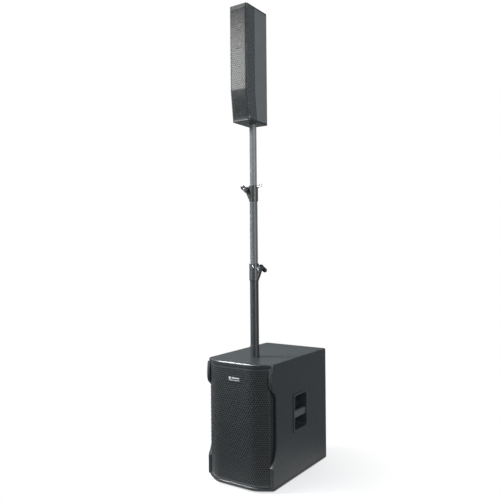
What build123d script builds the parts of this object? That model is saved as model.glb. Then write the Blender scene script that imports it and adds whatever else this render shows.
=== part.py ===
from build123d import *
import os
from math import atan2, cos, radians, sin, tan

# Column PA system: a powered bass cabinet, a telescopic pole screwed into its top,
# and a column loudspeaker that turns on the pole's end.
# Millimetres, +Z up, front towards -Y. The origin is on the floor, below the middle
# of the bass cabinet.

# ---- bass cabinet ----
CAB_W = 382.0
CAB_D = 592.0
CAB_H = 592.0
FOOT_H = 8.0
PLY = 18.0
BOW = 50.0  # how far the middle of the front stands ahead of its corners
BOW_HALF = 112.0  # half the width of the flat middle of the front
BEND_R = 110.0
CORNER_R = 26.0
REAR_R = 12.0
EDGE_R = 7.0
LEDGE_R = 4.0  # front edge of the bottom panel, below the grille
CLEAR = 0.3  # gap between pieces of different bodies
SCREW_HEAD_R, SCREW_SHANK_R, SCREW_HOLE_R = 4.0, 2.0, 2.2
SCREW_L = 16.0

HALF_W = CAB_W / 2
INNER_W = CAB_W - 2 * PLY
FRONT_Y = -CAB_D / 2
BACK_Y = CAB_D / 2
BASE_Z = FOOT_H
TOP_Z = FOOT_H + CAB_H
FLOOR_Z = BASE_Z + PLY  # inside floor
CEILING_Z = TOP_Z - PLY  # underside of the top panel
RAKE = atan2(BOW, HALF_W - BOW_HALF)  # angle of the two outer facets of the front

# ---- cheeks: the shaped front edges of the side panels ----
CHEEK_SWELL = 5.5
NOTCH_DEPTH = 35.0
CHEEK_EDGE_R = 6.0
LOWER_CHEEK_Z = 118.0
SWEEP_TOP_Z = 254.0
NOTCH_TOP_Z = 430.0
UPPER_CHEEK_Z = 486.0
SWELL_Z = 524.0

# ---- front grille and baffle ----
GRILLE_INSET = 2.0
GRILLE_CORNER_R = 4.5
GRILLE_T = 1.6
GRILLE_SIDE_GAP = 0.6
GRILLE_END_GAP = 2.0
FOAM_T = 4.0
BAFFLE_Y = -222.0
BAFFLE_T = 18.0
BADGE_W, BADGE_T = 62.0, 1.5
BADGE_Z = 526.0
BADGE_DOT_R = 6.5
BADGE_BAR_H = 6.0
BADGE_LINE_H = 2.6
BADGE_GAP = 4.0  # between the dot and the bar, and down to the line

# ---- 12-inch woofer ----
WOOFER_Z = 352.0
WOOFER_R = 153.0
CUTOUT_R = 142.0
CONE_R = 124.0
COIL_R = 38.0
MAGNET_R = 78.0
FLANGE_T = 8.0
PORT_W, PORT_H, PORT_R = 310.0, 64.0, 12.0
PORT_SHELF_T = 12.0
PORT_SHELF_D = 240.0

# ---- carrying handles ----
HANDLE_Y, HANDLE_Z = 5.0, 329.0
HANDLE_GAP_W, HANDLE_GAP_H = 120.0, 168.0
HANDLE_WALL = 2.5
HANDLE_GAP_R = 12.0
HANDLE_DEPTH = 62.0
HANDLE_RIM = 11.0
RIM_T = 2.5
GRIP_Z = 318.0
GRIP_H, GRIP_D, GRIP_R = 36.0, 24.0, 8.0
GRIP_SET_BACK = 3.0

# ---- amplifier panel ----
REAR_PANEL_Y = 258.0
AMP_Y = REAR_PANEL_Y + PLY  # outside of the rear panel
AMP_W, AMP_H, AMP_T = 244.0, 254.0, 3.0
AMP_Z = 310.0
AMP_CUT_W, AMP_CUT_H = 212.0, 222.0
AMP_FACE = AMP_Y + AMP_T
KNOB_X, KNOB_Z = 50.0, AMP_Z + 92.0
SOCKET_Z = AMP_Z + 46.0
INPUT_X = (-84.0, -44.0)
OUTPUT_X = (44.0, 84.0)
SOCKET_FLANGE = (26.0, 31.0, 2.0)
SOCKET_FLANGE_R = 3.0
SOCKET_BORE_R = 9.5
SOCKET_BODY_R = 11.8
SOCKET_DEPTH = 20.0
INLET_X, MAINS_Z = -66.0, AMP_Z - 100.0
INLET_BODY = (28.0, 24.0, 20.0)
INLET_CAVITY = (24.0, 18.0, 16.0)
INLET_FLANGE = (32.0, 2.0, 25.0)
SWITCH_X = -12.0
SWITCH_R, SWITCH_W = 10.5, 12.0
SWITCH_TILT = 8.0
SWITCH_RISE = 10.0  # angle between each flat of the rocker and its middle
BUTTON_X = 40.0
BUTTON_R = 4.5
LED_R, LED_L, LED_RISE = 2.5, 9.0, 1.0
KNOB_R, KNOB_L = 10.5, 12.5
KNOB_SHAFT_R = 3.0
FLUTES, FLUTE_R = 18, 1.3

# ---- pole ----
POLE_Y = -114.0
SLIDE_FIT = 0.08  # radial, between one tube and the next
BASE_SLEEVE_R, BASE_SLEEVE_H = 23.0, 58.0
BASE_FLOOR = 12.0
STUD_L = 40.0
STUD_R = 9.9
HUB_R = 19.0
UPPER_TUBE_R = 17.5
MID_TUBE_R = 19.5
LOWER_TUBE_R = 21.6
TUBE_TOP_STEP = 15.0  # collar length above the tube that it is fixed to
LOWER_COLLAR = (982.0, 1067.0)
UPPER_COLLAR = (1379.0, 1457.0)
LOWER_COLLAR_R = 24.6
UPPER_COLLAR_R = 22.8
LOWER_KNOB_Z = 1042.0
UPPER_KNOB_Z = 1440.0
MID_TUBE_Z0 = 927.0
UPPER_TUBE_Z0 = 1327.0

# ---- column loudspeaker ----
COL_W = 102.0
COL_Z0 = 1762.0
COL_H = 562.0
COL_BACK = 57.0  # pole axis to back face
COL_FRONT = 123.0  # pole axis to the upright part of the front
COL_KINK_H = 150.0  # height of the raked lower part of the front
COL_RAKE = 18.0
COL_CAP_T = 9.0
COL_CORNER_R = 10.0
COL_REAR_R = 5.0
COL_WRAP = 70.0  # how far the grille wraps back along each side
COL_WALL = 10.0
CUP_TOP_Z = 1846.0
COL_TOP = COL_Z0 + COL_H
COL_KINK = COL_Z0 + COL_KINK_H

os.makedirs("parts", exist_ok=True)


def save(builder, label):
    """Label a finished piece and write it as its own file."""
    builder.part.label = label
    export_step(builder.part, f"parts/{label}.step")


def facet_y(x, inset=0.0):
    """Y of the raked front facet at a distance x from the middle."""
    bend_x = BOW_HALF - inset * tan(RAKE / 2)
    return FRONT_Y + inset + (x - bend_x) * tan(RAKE)


def bowed_outline(inset=0.0, side_inset=0.0, back_y=BACK_Y, rear_r=REAR_R, corner_r=CORNER_R):
    """Plan of the cabinet: a flat middle, two raked facets and straight sides."""
    bend_x = BOW_HALF - inset * tan(RAKE / 2)
    side_x = HALF_W - side_inset
    corner_y = facet_y(side_x, inset)
    with BuildSketch() as outline:
        with BuildLine():
            Polyline(
                (-side_x, back_y),
                (-side_x, corner_y),
                (-bend_x, FRONT_Y + inset),
                (bend_x, FRONT_Y + inset),
                (side_x, corner_y),
                (side_x, back_y),
                close=True,
            )
        make_face()
        fillet(outline.vertices().group_by(Axis.Y)[1], corner_r)
        fillet(outline.vertices().group_by(Axis.Y)[0], BEND_R)
        if rear_r > 0:
            fillet(outline.vertices().group_by(Axis.Y)[-1], rear_r)
    return outline.sketch


# ==== cabinet shell ====

with BuildPart() as top_panel:
    with BuildSketch(Plane.XY.offset(CEILING_Z)):
        add(bowed_outline())
    extrude(amount=PLY)
    fillet(top_panel.faces().sort_by(Axis.Z)[-1].edges(), EDGE_R)
    with Locations((0, POLE_Y, TOP_Z)):
        Hole(HUB_R + CLEAR, depth=PLY)
save(top_panel, "top_panel")

with BuildPart() as bottom_panel:
    with BuildSketch(Plane.XY.offset(BASE_Z)):
        add(bowed_outline())
    extrude(amount=PLY)
    fillet(bottom_panel.faces().sort_by(Axis.Z)[0].edges(), 1.4 * EDGE_R)
    ledge = bottom_panel.faces().sort_by(Axis.Z)[-1].edges()
    fillet([e for e in ledge if e.center().Y < FRONT_Y + BOW], LEDGE_R)
save(bottom_panel, "bottom_panel")

CUP_W = HANDLE_GAP_W + 2 * HANDLE_WALL
CUP_H = HANDLE_GAP_H + 2 * HANDLE_WALL
CHEEK_Y = facet_y(INNER_W / 2)
NOTCH_Y = CHEEK_Y + NOTCH_DEPTH
SWEEP_START = (0.6, 0.8)  # direction in which the sweep leaves the lower cheek

for side, hand in ((-1, "left"), (1, "right")):
    with BuildPart() as side_panel:
        with BuildSketch(Plane.YZ.offset(side * INNER_W / 2)):
            with BuildLine():
                Polyline(
                    (CHEEK_Y, CEILING_Z),
                    (BACK_Y, CEILING_Z),
                    (BACK_Y, FLOOR_Z),
                    (CHEEK_Y, FLOOR_Z),
                    (CHEEK_Y, LOWER_CHEEK_Z),
                )
                Spline(
                    (CHEEK_Y, LOWER_CHEEK_Z),
                    (NOTCH_Y, SWEEP_TOP_Z),
                    tangents=(SWEEP_START, (0, 1)),
                )
                Line((NOTCH_Y, SWEEP_TOP_Z), (NOTCH_Y, NOTCH_TOP_Z))
                Spline(
                    (NOTCH_Y, NOTCH_TOP_Z),
                    (CHEEK_Y, UPPER_CHEEK_Z),
                    (CHEEK_Y - CHEEK_SWELL, SWELL_Z),
                    (CHEEK_Y, CEILING_Z),
                    tangents=((0, 1), (0.15, 1)),
                )
            make_face()
        extrude(amount=side * PLY)
        outside = side_panel.faces().sort_by(Axis.X)[-1 if side > 0 else 0]
        front_edges = [e for e in outside.edges() if e.center().Y < NOTCH_Y + 2]
        fillet(front_edges, CHEEK_EDGE_R)
        outside = side_panel.faces().filter_by(Axis.X).sort_by(Axis.X)[-1 if side > 0 else 0]
        fillet(outside.edges().sort_by(Axis.Y)[-1], REAR_R)
        with BuildSketch(Plane.YZ.offset(side * INNER_W / 2)):
            with Locations((HANDLE_Y, HANDLE_Z)):
                RectangleRounded(CUP_W, CUP_H, HANDLE_GAP_R + 2)
        extrude(amount=side * PLY, mode=Mode.SUBTRACT)
    save(side_panel, f"{hand}_side_panel")

with BuildPart() as rear_panel:
    with BuildSketch(Plane.XZ.offset(-REAR_PANEL_Y)):
        with Locations((0, (FLOOR_Z + CEILING_Z) / 2)):
            Rectangle(INNER_W, CEILING_Z - FLOOR_Z)
        with Locations((0, AMP_Z)):
            Rectangle(AMP_CUT_W, AMP_CUT_H, mode=Mode.SUBTRACT)
    extrude(amount=-PLY)
save(rear_panel, "rear_panel")

PORT_FLOOR_Z = FLOOR_Z + 8
with BuildPart() as baffle_board:
    with BuildSketch(Plane.XZ.offset(-BAFFLE_Y)):
        with Locations((0, (FLOOR_Z + CEILING_Z) / 2)):
            Rectangle(INNER_W, CEILING_Z - FLOOR_Z)
        with Locations((0, WOOFER_Z)):
            Circle(CUTOUT_R, mode=Mode.SUBTRACT)
        with Locations((0, PORT_FLOOR_Z + PORT_H / 2)):
            RectangleRounded(PORT_W, PORT_H, PORT_R, mode=Mode.SUBTRACT)
    extrude(amount=-BAFFLE_T)
save(baffle_board, "baffle_board")

with BuildPart() as port_shelf:
    with Locations((0, BAFFLE_Y + BAFFLE_T, PORT_FLOOR_Z + PORT_H + 8)):
        Box(INNER_W, PORT_SHELF_D, PORT_SHELF_T, align=(Align.CENTER, Align.MIN, Align.MIN))
save(port_shelf, "port_shelf")

FOOT_SPOTS = [(x, y, 0) for x in (-140, 140) for y in (-205, 250)]
FOOT_R = (17.0, 20.0)  # at the floor, at the cabinet
with BuildPart() as rubber_feet:
    with Locations(FOOT_SPOTS):
        Cone(*FOOT_R, FOOT_H, align=(Align.CENTER, Align.CENTER, Align.MIN))
save(rubber_feet, "rubber_feet")

# ==== front grille, foam and badge ====

GRILLE_Z0 = FLOOR_Z + GRILLE_END_GAP
GRILLE_Z1 = CEILING_Z - GRILLE_END_GAP


def bowed_sheet(inset, side_inset, thickness, corner_r):
    """Plan of a sheet folded round the front and back along both sides."""
    inner = (inset + thickness, side_inset + thickness)
    with BuildSketch() as sheet:
        add(bowed_outline(inset, side_inset, BAFFLE_Y, 0, corner_r))
        add(bowed_outline(*inner, BAFFLE_Y + NOTCH_DEPTH, 0, corner_r - thickness), mode=Mode.SUBTRACT)
    return sheet.sketch


GRILLE_SIDE_INSET = PLY + GRILLE_SIDE_GAP
with BuildPart() as front_grille:
    with BuildSketch(Plane.XY.offset(GRILLE_Z0)):
        add(bowed_sheet(GRILLE_INSET, GRILLE_SIDE_INSET, GRILLE_T, GRILLE_CORNER_R))
    extrude(amount=GRILLE_Z1 - GRILLE_Z0)
save(front_grille, "front_grille")

with BuildPart() as grille_foam:
    with BuildSketch(Plane.XY.offset(GRILLE_Z0)):
        add(bowed_sheet(GRILLE_INSET + GRILLE_T, GRILLE_SIDE_INSET + GRILLE_T, FOAM_T, FOAM_T + 1))
    extrude(amount=GRILLE_Z1 - GRILLE_Z0)
save(grille_foam, "grille_foam")

BADGE_BAR_W = BADGE_W - 2 * BADGE_DOT_R - BADGE_GAP
with BuildPart() as badge:
    with BuildSketch(Plane.XZ.offset(-(FRONT_Y + GRILLE_INSET))):
        with Locations((BADGE_DOT_R - BADGE_W / 2, BADGE_Z)):
            Circle(BADGE_DOT_R)
        with Locations(((BADGE_W - BADGE_BAR_W) / 2, BADGE_Z)):
            RectangleRounded(BADGE_BAR_W, BADGE_BAR_H, 0.45 * BADGE_BAR_H)
        with Locations((0, BADGE_Z - BADGE_DOT_R - BADGE_GAP)):
            RectangleRounded(BADGE_W, BADGE_LINE_H, 0.45 * BADGE_LINE_H)
    extrude(amount=BADGE_T)
save(badge, "badge")

# ==== woofer, all turned about one axis ====

WOOFER_PLANE = Plane.XY.offset(WOOFER_Z)  # sketch X is the radius, Y the depth
WOOFER_AXIS = Axis((0, 0, WOOFER_Z), (0, 1, 0))
RIM_Y = BAFFLE_Y - FLANGE_T  # front face of the woofer's rim
NECK_Y = BAFFLE_Y + 100  # where the basket meets the magnet
CONE_RIM_Y = RIM_Y + 1
CONE_NECK_Y = CONE_RIM_Y + 44
BOLT_CIRCLE_R = 147.5
BOLTS = 8
LEGS = 6
WINDOW = (46.0, 78.0, 12.0)  # openings between the basket's legs, and their corners
WINDOW_R = 104.0
WINDOW_SPAN = (20.0, 86.0)  # their depths behind the baffle's face

with BuildPart() as woofer_frame:
    with BuildSketch(WOOFER_PLANE):
        with BuildLine():
            Polyline(
                (WOOFER_R, BAFFLE_Y),
                (WOOFER_R, RIM_Y),
                (CUTOUT_R - 6, RIM_Y),
                (CUTOUT_R - 6, BAFFLE_Y),
                (MAGNET_R - 6, NECK_Y - 5),
                (COIL_R + 3, NECK_Y - 5),
                (COIL_R + 3, NECK_Y),
                (MAGNET_R, NECK_Y),
                (CUTOUT_R - 1, BAFFLE_Y + 4),
                (CUTOUT_R - 1, BAFFLE_Y),
                close=True,
            )
        make_face()
    revolve(axis=WOOFER_AXIS)
    with BuildSketch(Plane.XZ.offset(-(BAFFLE_Y + WINDOW_SPAN[0]))):
        with Locations((0, WOOFER_Z)):
            with PolarLocations(WINDOW_R, LEGS, start_angle=180 / LEGS):
                RectangleRounded(*WINDOW)
    extrude(amount=WINDOW_SPAN[0] - WINDOW_SPAN[1], mode=Mode.SUBTRACT)
    with BuildSketch(Plane.XZ.offset(-RIM_Y)):
        with Locations((0, WOOFER_Z)):
            with PolarLocations(BOLT_CIRCLE_R, BOLTS, start_angle=180 / BOLTS):
                Circle(2.8)
    extrude(amount=-FLANGE_T, mode=Mode.SUBTRACT)
save(woofer_frame, "woofer_frame")

with BuildPart() as woofer_magnet:
    with BuildSketch(WOOFER_PLANE):
        with BuildLine():
            Polyline(
                (0, NECK_Y - 4),
                (COIL_R - 3, NECK_Y - 4),
                (COIL_R - 3, NECK_Y + 34),
                (COIL_R + 3, NECK_Y + 34),
                (COIL_R + 3, NECK_Y),
                (MAGNET_R, NECK_Y),
                (MAGNET_R, NECK_Y + 44),
                (0, NECK_Y + 44),
                close=True,
            )
        make_face()
    revolve(axis=WOOFER_AXIS)
save(woofer_magnet, "woofer_magnet")

SURROUND_R = (CONE_R + CLEAR + 8, 8.0, 6.5)  # middle of the roll, outside, inside
with BuildPart() as woofer_surround:
    with BuildSketch(WOOFER_PLANE):
        with Locations((SURROUND_R[0], RIM_Y)):
            Circle(SURROUND_R[1])
            Circle(SURROUND_R[2], mode=Mode.SUBTRACT)
        with Locations((SURROUND_R[0], RIM_Y + SURROUND_R[1])):
            Rectangle(3 * SURROUND_R[1], 2 * SURROUND_R[1], mode=Mode.SUBTRACT)
        with Locations((SURROUND_R[0] + SURROUND_R[2], RIM_Y)):
            Rectangle(3.8, 1.5, align=(Align.MIN, Align.MAX))
    revolve(axis=WOOFER_AXIS)
save(woofer_surround, "woofer_surround")

with BuildPart() as woofer_cone:
    with BuildSketch(WOOFER_PLANE):
        with BuildLine():
            Polyline(
                (CONE_R, CONE_RIM_Y),
                (CONE_R, CONE_RIM_Y + 2),
                (COIL_R + 2, CONE_NECK_Y),
                (COIL_R, CONE_NECK_Y),
                (COIL_R, CONE_NECK_Y - 2),
                (CONE_R - 3, CONE_RIM_Y),
                close=True,
            )
        make_face()
    revolve(axis=WOOFER_AXIS)
save(woofer_cone, "woofer_cone")

DUST_CAP_T = 1.2
DOME_H = 14.0
DOME_R = (COIL_R**2 + DOME_H**2) / (2 * DOME_H)
with BuildPart() as dust_cap:
    with BuildSketch(WOOFER_PLANE):
        with Locations((0, CONE_NECK_Y - 2 + DOME_R - DOME_H)):
            Circle(DOME_R)
            Circle(DOME_R - DUST_CAP_T, mode=Mode.SUBTRACT)
        with Locations((0, CONE_NECK_Y - 2)):
            Rectangle(4 * DOME_R, 4 * DOME_R, align=(Align.CENTER, Align.MIN), mode=Mode.SUBTRACT)
            Rectangle(2 * DOME_R, 2 * DOME_R, align=(Align.MAX, Align.MAX), mode=Mode.SUBTRACT)
    revolve(axis=WOOFER_AXIS)
save(dust_cap, "dust_cap")

with BuildPart() as voice_coil:
    with BuildSketch(WOOFER_PLANE):
        with Locations((COIL_R - 1, CONE_NECK_Y)):
            Rectangle(1, NECK_Y + 14 - CONE_NECK_Y, align=(Align.MIN, Align.MIN))
        with Locations((COIL_R, NECK_Y - 2)):
            Rectangle(1.2, 16, align=(Align.MIN, Align.MIN))
    revolve(axis=WOOFER_AXIS)
save(voice_coil, "voice_coil")

with BuildPart() as woofer_screws:
    with BuildSketch(Plane.XZ.offset(-RIM_Y)):
        with Locations((0, WOOFER_Z)):
            with PolarLocations(BOLT_CIRCLE_R, BOLTS, start_angle=180 / BOLTS):
                Circle(4.6)
    extrude(amount=3)
    with BuildSketch(Plane.XZ.offset(-RIM_Y)):
        with Locations((0, WOOFER_Z)):
            with PolarLocations(BOLT_CIRCLE_R, BOLTS, start_angle=180 / BOLTS):
                Circle(2.5)
    extrude(amount=-22)
save(woofer_screws, "woofer_screws")

# ==== carrying handles, one in each side ====

RIM_W = HANDLE_GAP_W + 2 * HANDLE_RIM
RIM_H = HANDLE_GAP_H + 2 * HANDLE_RIM
HANDLE_SCREW_SPOTS = [
    (HANDLE_Y + dy * (RIM_W - HANDLE_RIM) / 2, HANDLE_Z + dz * (RIM_H - HANDLE_RIM) / 2)
    for dy in (-1, 1)
    for dz in (-1, 1)
]

for side, hand in ((-1, "left"), (1, "right")):
    face = Plane.YZ.offset(side * HALF_W)
    with BuildPart() as handle_cup:
        with BuildSketch(face):
            with Locations((HANDLE_Y, HANDLE_Z)):
                RectangleRounded(CUP_W - 0.4, CUP_H - 0.4, HANDLE_GAP_R + 2)
        extrude(amount=-side * HANDLE_DEPTH)
        with BuildSketch(face):
            with Locations((HANDLE_Y, HANDLE_Z)):
                RectangleRounded(RIM_W, RIM_H, HANDLE_GAP_R + 4)
            with Locations(HANDLE_SCREW_SPOTS):
                Circle(SCREW_HOLE_R, mode=Mode.SUBTRACT)
        extrude(amount=side * RIM_T)
        with BuildSketch(Plane.YZ.offset(side * (HALF_W - HANDLE_DEPTH + HANDLE_WALL))):
            with Locations((HANDLE_Y, HANDLE_Z)):
                RectangleRounded(HANDLE_GAP_W, HANDLE_GAP_H, HANDLE_GAP_R)
        extrude(amount=side * (HANDLE_DEPTH + RIM_T), mode=Mode.SUBTRACT)
    save(handle_cup, f"{hand}_handle_cup")

    with BuildPart() as handle_grip:
        with BuildSketch(Plane.XZ.offset(-(HANDLE_Y - HANDLE_GAP_W / 2))):
            with Locations((side * (HALF_W - GRIP_SET_BACK - GRIP_D / 2), GRIP_Z)):
                RectangleRounded(GRIP_D, GRIP_H, GRIP_R)
        extrude(amount=-HANDLE_GAP_W)
    save(handle_grip, f"{hand}_handle_grip")

with BuildPart() as handle_screws:
    for side in (-1, 1):
        with BuildSketch(Plane.YZ.offset(side * (HALF_W + RIM_T))):
            with Locations(HANDLE_SCREW_SPOTS):
                Circle(SCREW_HEAD_R)
        extrude(amount=side * 1.6)
        with BuildSketch(Plane.YZ.offset(side * (HALF_W + RIM_T))):
            with Locations(HANDLE_SCREW_SPOTS):
                Circle(SCREW_SHANK_R)
        extrude(amount=-side * SCREW_L)
save(handle_screws, "handle_screws")

# ==== amplifier panel and what it carries ====

AMP_SCREW_INSET = 6.0
AMP_SCREW_SPOTS = [
    (dx * (AMP_W / 2 - AMP_SCREW_INSET), AMP_Z + dz * (AMP_H / 2 - AMP_SCREW_INSET))
    for dx in (-1, 0, 1)
    for dz in (-1, 0, 1)
    if (dx, dz) != (0, 0)
]
SINK_Z, SINK_W, SINK_H = AMP_Z - 32.0, 168.0, 76.0
SINK_FOOT = 3.0
FIN_H, FIN_T, FIN_PITCH = 11.0, 2.0, 8.0

with BuildPart() as amp_plate:
    with BuildSketch(Plane.XZ.offset(-AMP_Y)):
        with Locations((0, AMP_Z)):
            RectangleRounded(AMP_W, AMP_H, 5)
        with Locations(AMP_SCREW_SPOTS):
            Circle(SCREW_HOLE_R, mode=Mode.SUBTRACT)
        with Locations((-KNOB_X, KNOB_Z), (KNOB_X, KNOB_Z)):
            Circle(KNOB_SHAFT_R + 0.4, mode=Mode.SUBTRACT)
        with Locations((0, KNOB_Z)):
            Circle(LED_R + 0.1, mode=Mode.SUBTRACT)
        with Locations([(x, SOCKET_Z) for x in INPUT_X + OUTPUT_X]):
            Circle(SOCKET_BODY_R + 0.1, mode=Mode.SUBTRACT)
        with Locations((INLET_X, MAINS_Z)):
            Rectangle(INLET_BODY[0] + 0.2, INLET_BODY[2] + 0.2, mode=Mode.SUBTRACT)
        with Locations((SWITCH_X, MAINS_Z)):
            Rectangle(SWITCH_W + 2 * CLEAR, 2 * (SWITCH_R + CLEAR), mode=Mode.SUBTRACT)
        with Locations((BUTTON_X, MAINS_Z)):
            Circle(BUTTON_R + CLEAR, mode=Mode.SUBTRACT)
    extrude(amount=-AMP_T)
save(amp_plate, "amp_plate")

with BuildPart() as heat_sink:
    with Locations((0, AMP_FACE, SINK_Z)):
        Box(SINK_W, SINK_FOOT, SINK_H, align=(Align.CENTER, Align.MIN, Align.CENTER))
        with GridLocations(FIN_PITCH, 1, int(SINK_W / FIN_PITCH), 1):
            Box(FIN_T, SINK_FOOT + FIN_H, SINK_H, align=(Align.CENTER, Align.MIN, Align.CENTER))
save(heat_sink, "heat_sink")

for name, xs in (("input_sockets", INPUT_X), ("output_sockets", OUTPUT_X)):
    with BuildPart() as sockets:
        with BuildSketch(Plane.XZ.offset(-AMP_FACE)):
            with Locations([(x, SOCKET_Z) for x in xs]):
                RectangleRounded(*SOCKET_FLANGE[:2], SOCKET_FLANGE_R)
        extrude(amount=-SOCKET_FLANGE[2])
        with BuildSketch(Plane.XZ.offset(-AMP_FACE)):
            with Locations([(x, SOCKET_Z) for x in xs]):
                Circle(SOCKET_BODY_R)
        extrude(amount=SOCKET_DEPTH)
        with BuildSketch(Plane.XZ.offset(-(AMP_FACE + SOCKET_FLANGE[2]))):
            with Locations([(x, SOCKET_Z) for x in xs]):
                Circle(SOCKET_BORE_R)
        extrude(amount=SOCKET_DEPTH, mode=Mode.SUBTRACT)
    save(sockets, name)

FROM_FRONT = (Align.CENTER, Align.MAX, Align.CENTER)
BLADES = [(INLET_X + dx, AMP_FACE - 5, MAINS_Z + dz) for dx, dz in ((-7, -2), (0, 3), (7, -2))]
with BuildPart() as mains_inlet:
    with Locations((INLET_X, AMP_FACE + INLET_FLANGE[1], MAINS_Z)):
        Box(*INLET_FLANGE, align=FROM_FRONT)
        Box(*INLET_BODY, align=FROM_FRONT)
        Box(*INLET_CAVITY, align=FROM_FRONT, mode=Mode.SUBTRACT)
    with Locations(BLADES):
        Box(2, 12, 4, align=FROM_FRONT)
save(mains_inlet, "mains_inlet")

# The rocker is a drum about X with two flats, tilted to its lower side.
ROCKER_PIVOT = (AMP_FACE - 4, MAINS_Z)
FLAT_DEPTH = 7.6  # from the pivot to each flat
with BuildPart() as power_switch:
    with BuildSketch(Plane.YZ.offset(SWITCH_X - SWITCH_W / 2)):
        with Locations(ROCKER_PIVOT):
            Circle(SWITCH_R)
            for half in (-1, 1):
                with Locations(Rot(0, 0, half * SWITCH_RISE - SWITCH_TILT)):
                    with Locations((FLAT_DEPTH, half * SWITCH_R)):
                        Rectangle(
                            SWITCH_R, 2 * SWITCH_R, mode=Mode.SUBTRACT, align=(Align.MIN, Align.CENTER)
                        )
    extrude(amount=SWITCH_W)
save(power_switch, "power_switch")

with BuildPart() as ground_lift_button:
    with BuildSketch(Plane.XZ.offset(-(AMP_FACE + 4))):
        with Locations((BUTTON_X, MAINS_Z)):
            Circle(BUTTON_R)
    extrude(amount=16)
    fillet(ground_lift_button.faces().sort_by(Axis.Y)[-1].edges(), 1)
save(ground_lift_button, "ground_lift_button")

for name, x in (("bass_level_knob", -KNOB_X), ("column_level_knob", KNOB_X)):
    with BuildPart() as level_knob:
        with BuildSketch(Plane.XZ.offset(-(AMP_FACE + CLEAR))):
            with Locations((x, KNOB_Z)):
                Circle(KNOB_R)
                with PolarLocations(KNOB_R + 0.9, FLUTES):
                    Circle(FLUTE_R, mode=Mode.SUBTRACT)
        extrude(amount=-KNOB_L)
        fillet(level_knob.faces().sort_by(Axis.Y)[-1].edges(), 0.8)
        with BuildSketch(Plane.XZ.offset(-(AMP_FACE + CLEAR + KNOB_L))):
            with Locations((x, KNOB_Z + 6.5)):
                Rectangle(1.4, 6)
        extrude(amount=1, mode=Mode.SUBTRACT)
        with BuildSketch(Plane.XZ.offset(-(AMP_FACE + CLEAR))):
            with Locations((x, KNOB_Z)):
                Circle(KNOB_SHAFT_R)
        extrude(amount=16)
    save(level_knob, name)

with BuildPart() as power_led:
    with BuildSketch(Plane.XZ.offset(-(AMP_FACE + LED_RISE))):
        with Locations((0, KNOB_Z)):
            Circle(LED_R)
    extrude(amount=LED_L)
    with Locations((0, AMP_FACE + LED_RISE, KNOB_Z)):
        Sphere(LED_R)
save(power_led, "power_led")

BOARD_Y, BOARD_Z = 236.0, AMP_Z + 53.0
BOARD = (200.0, 1.6, 108.0)
STANDING = (Align.CENTER, Align.CENTER, Align.MIN)
POSTS = [(x, 0, z) for x in (-94, 94) for z in (-48, 48)]
CAPACITORS = [(x, -BOARD[1], 20) for x in (-70, -42, -14)]
with BuildPart() as amp_board:
    with Locations((0, BOARD_Y, BOARD_Z)):
        Box(*BOARD, align=FROM_FRONT)
        with Locations(POSTS):
            Cylinder(4, AMP_Y - BOARD_Y, rotation=(-90, 0, 0), align=STANDING)
        with Locations(CAPACITORS):
            Cylinder(11, 34, rotation=(90, 0, 0), align=STANDING)
        with Locations((45, -BOARD[1], 10)):
            Box(60, 26, 50, align=FROM_FRONT)
save(amp_board, "amp_board")

TOROID_R, TOROID_HOLE_R, TOROID_T = 47.0, 14.0, 42.0
TOROID_Y, TOROID_Z = 205.0, AMP_Z - 56
with BuildPart() as transformer:
    with BuildSketch(Plane.XZ.offset(-TOROID_Y)):
        with Locations((0, TOROID_Z)):
            Circle(TOROID_R)
            Circle(TOROID_HOLE_R, mode=Mode.SUBTRACT)
    extrude(amount=-TOROID_T)
    fillet(transformer.edges().filter_by(GeomType.CIRCLE), 7)
    with Locations((0, TOROID_Y, TOROID_Z)):
        Cylinder(TOROID_HOLE_R, 3, rotation=(-90, 0, 0), align=STANDING)
        Cylinder(4, AMP_Y - TOROID_Y, rotation=(-90, 0, 0), align=STANDING)
        with Locations((0, TOROID_T / 2, 0)):
            Cylinder(TOROID_HOLE_R, 3, rotation=(-90, 0, 0), align=STANDING)
save(transformer, "transformer")

with BuildPart() as amp_screws:
    with BuildSketch(Plane.XZ.offset(-AMP_FACE)):
        with Locations(AMP_SCREW_SPOTS):
            Circle(SCREW_HEAD_R)
    extrude(amount=-2)
    with BuildSketch(Plane.XZ.offset(-AMP_FACE)):
        with Locations(AMP_SCREW_SPOTS):
            Circle(SCREW_SHANK_R)
    extrude(amount=SCREW_L)
save(amp_screws, "amp_screws")

# ==== pole ====


def ring(plane, outer, inner, length):
    """A straight ring standing on a plane, added to the open part."""
    with BuildSketch(plane) as section:
        Circle(outer)
        Circle(inner, mode=Mode.SUBTRACT)
    extrude(section.sketch, amount=length)


def pole_plane(z):
    return Plane(origin=(0, POLE_Y, z), x_dir=(1, 0, 0), z_dir=(0, 0, 1))


FLANGE = (110.0, 110.0, 6.0)
HUB_Z0 = CEILING_Z - 30
with BuildPart() as pole_socket:
    with BuildSketch(pole_plane(CEILING_Z - FLANGE[2])):
        RectangleRounded(FLANGE[0], FLANGE[1], 10)
    extrude(amount=FLANGE[2])
    ring(pole_plane(HUB_Z0), HUB_R, STUD_R + 0.1, TOP_Z - HUB_Z0)
    with BuildSketch(pole_plane(HUB_Z0)):
        Circle(STUD_R + 0.1)
    extrude(amount=TOP_Z - HUB_Z0, mode=Mode.SUBTRACT)
save(pole_socket, "pole_socket")

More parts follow.
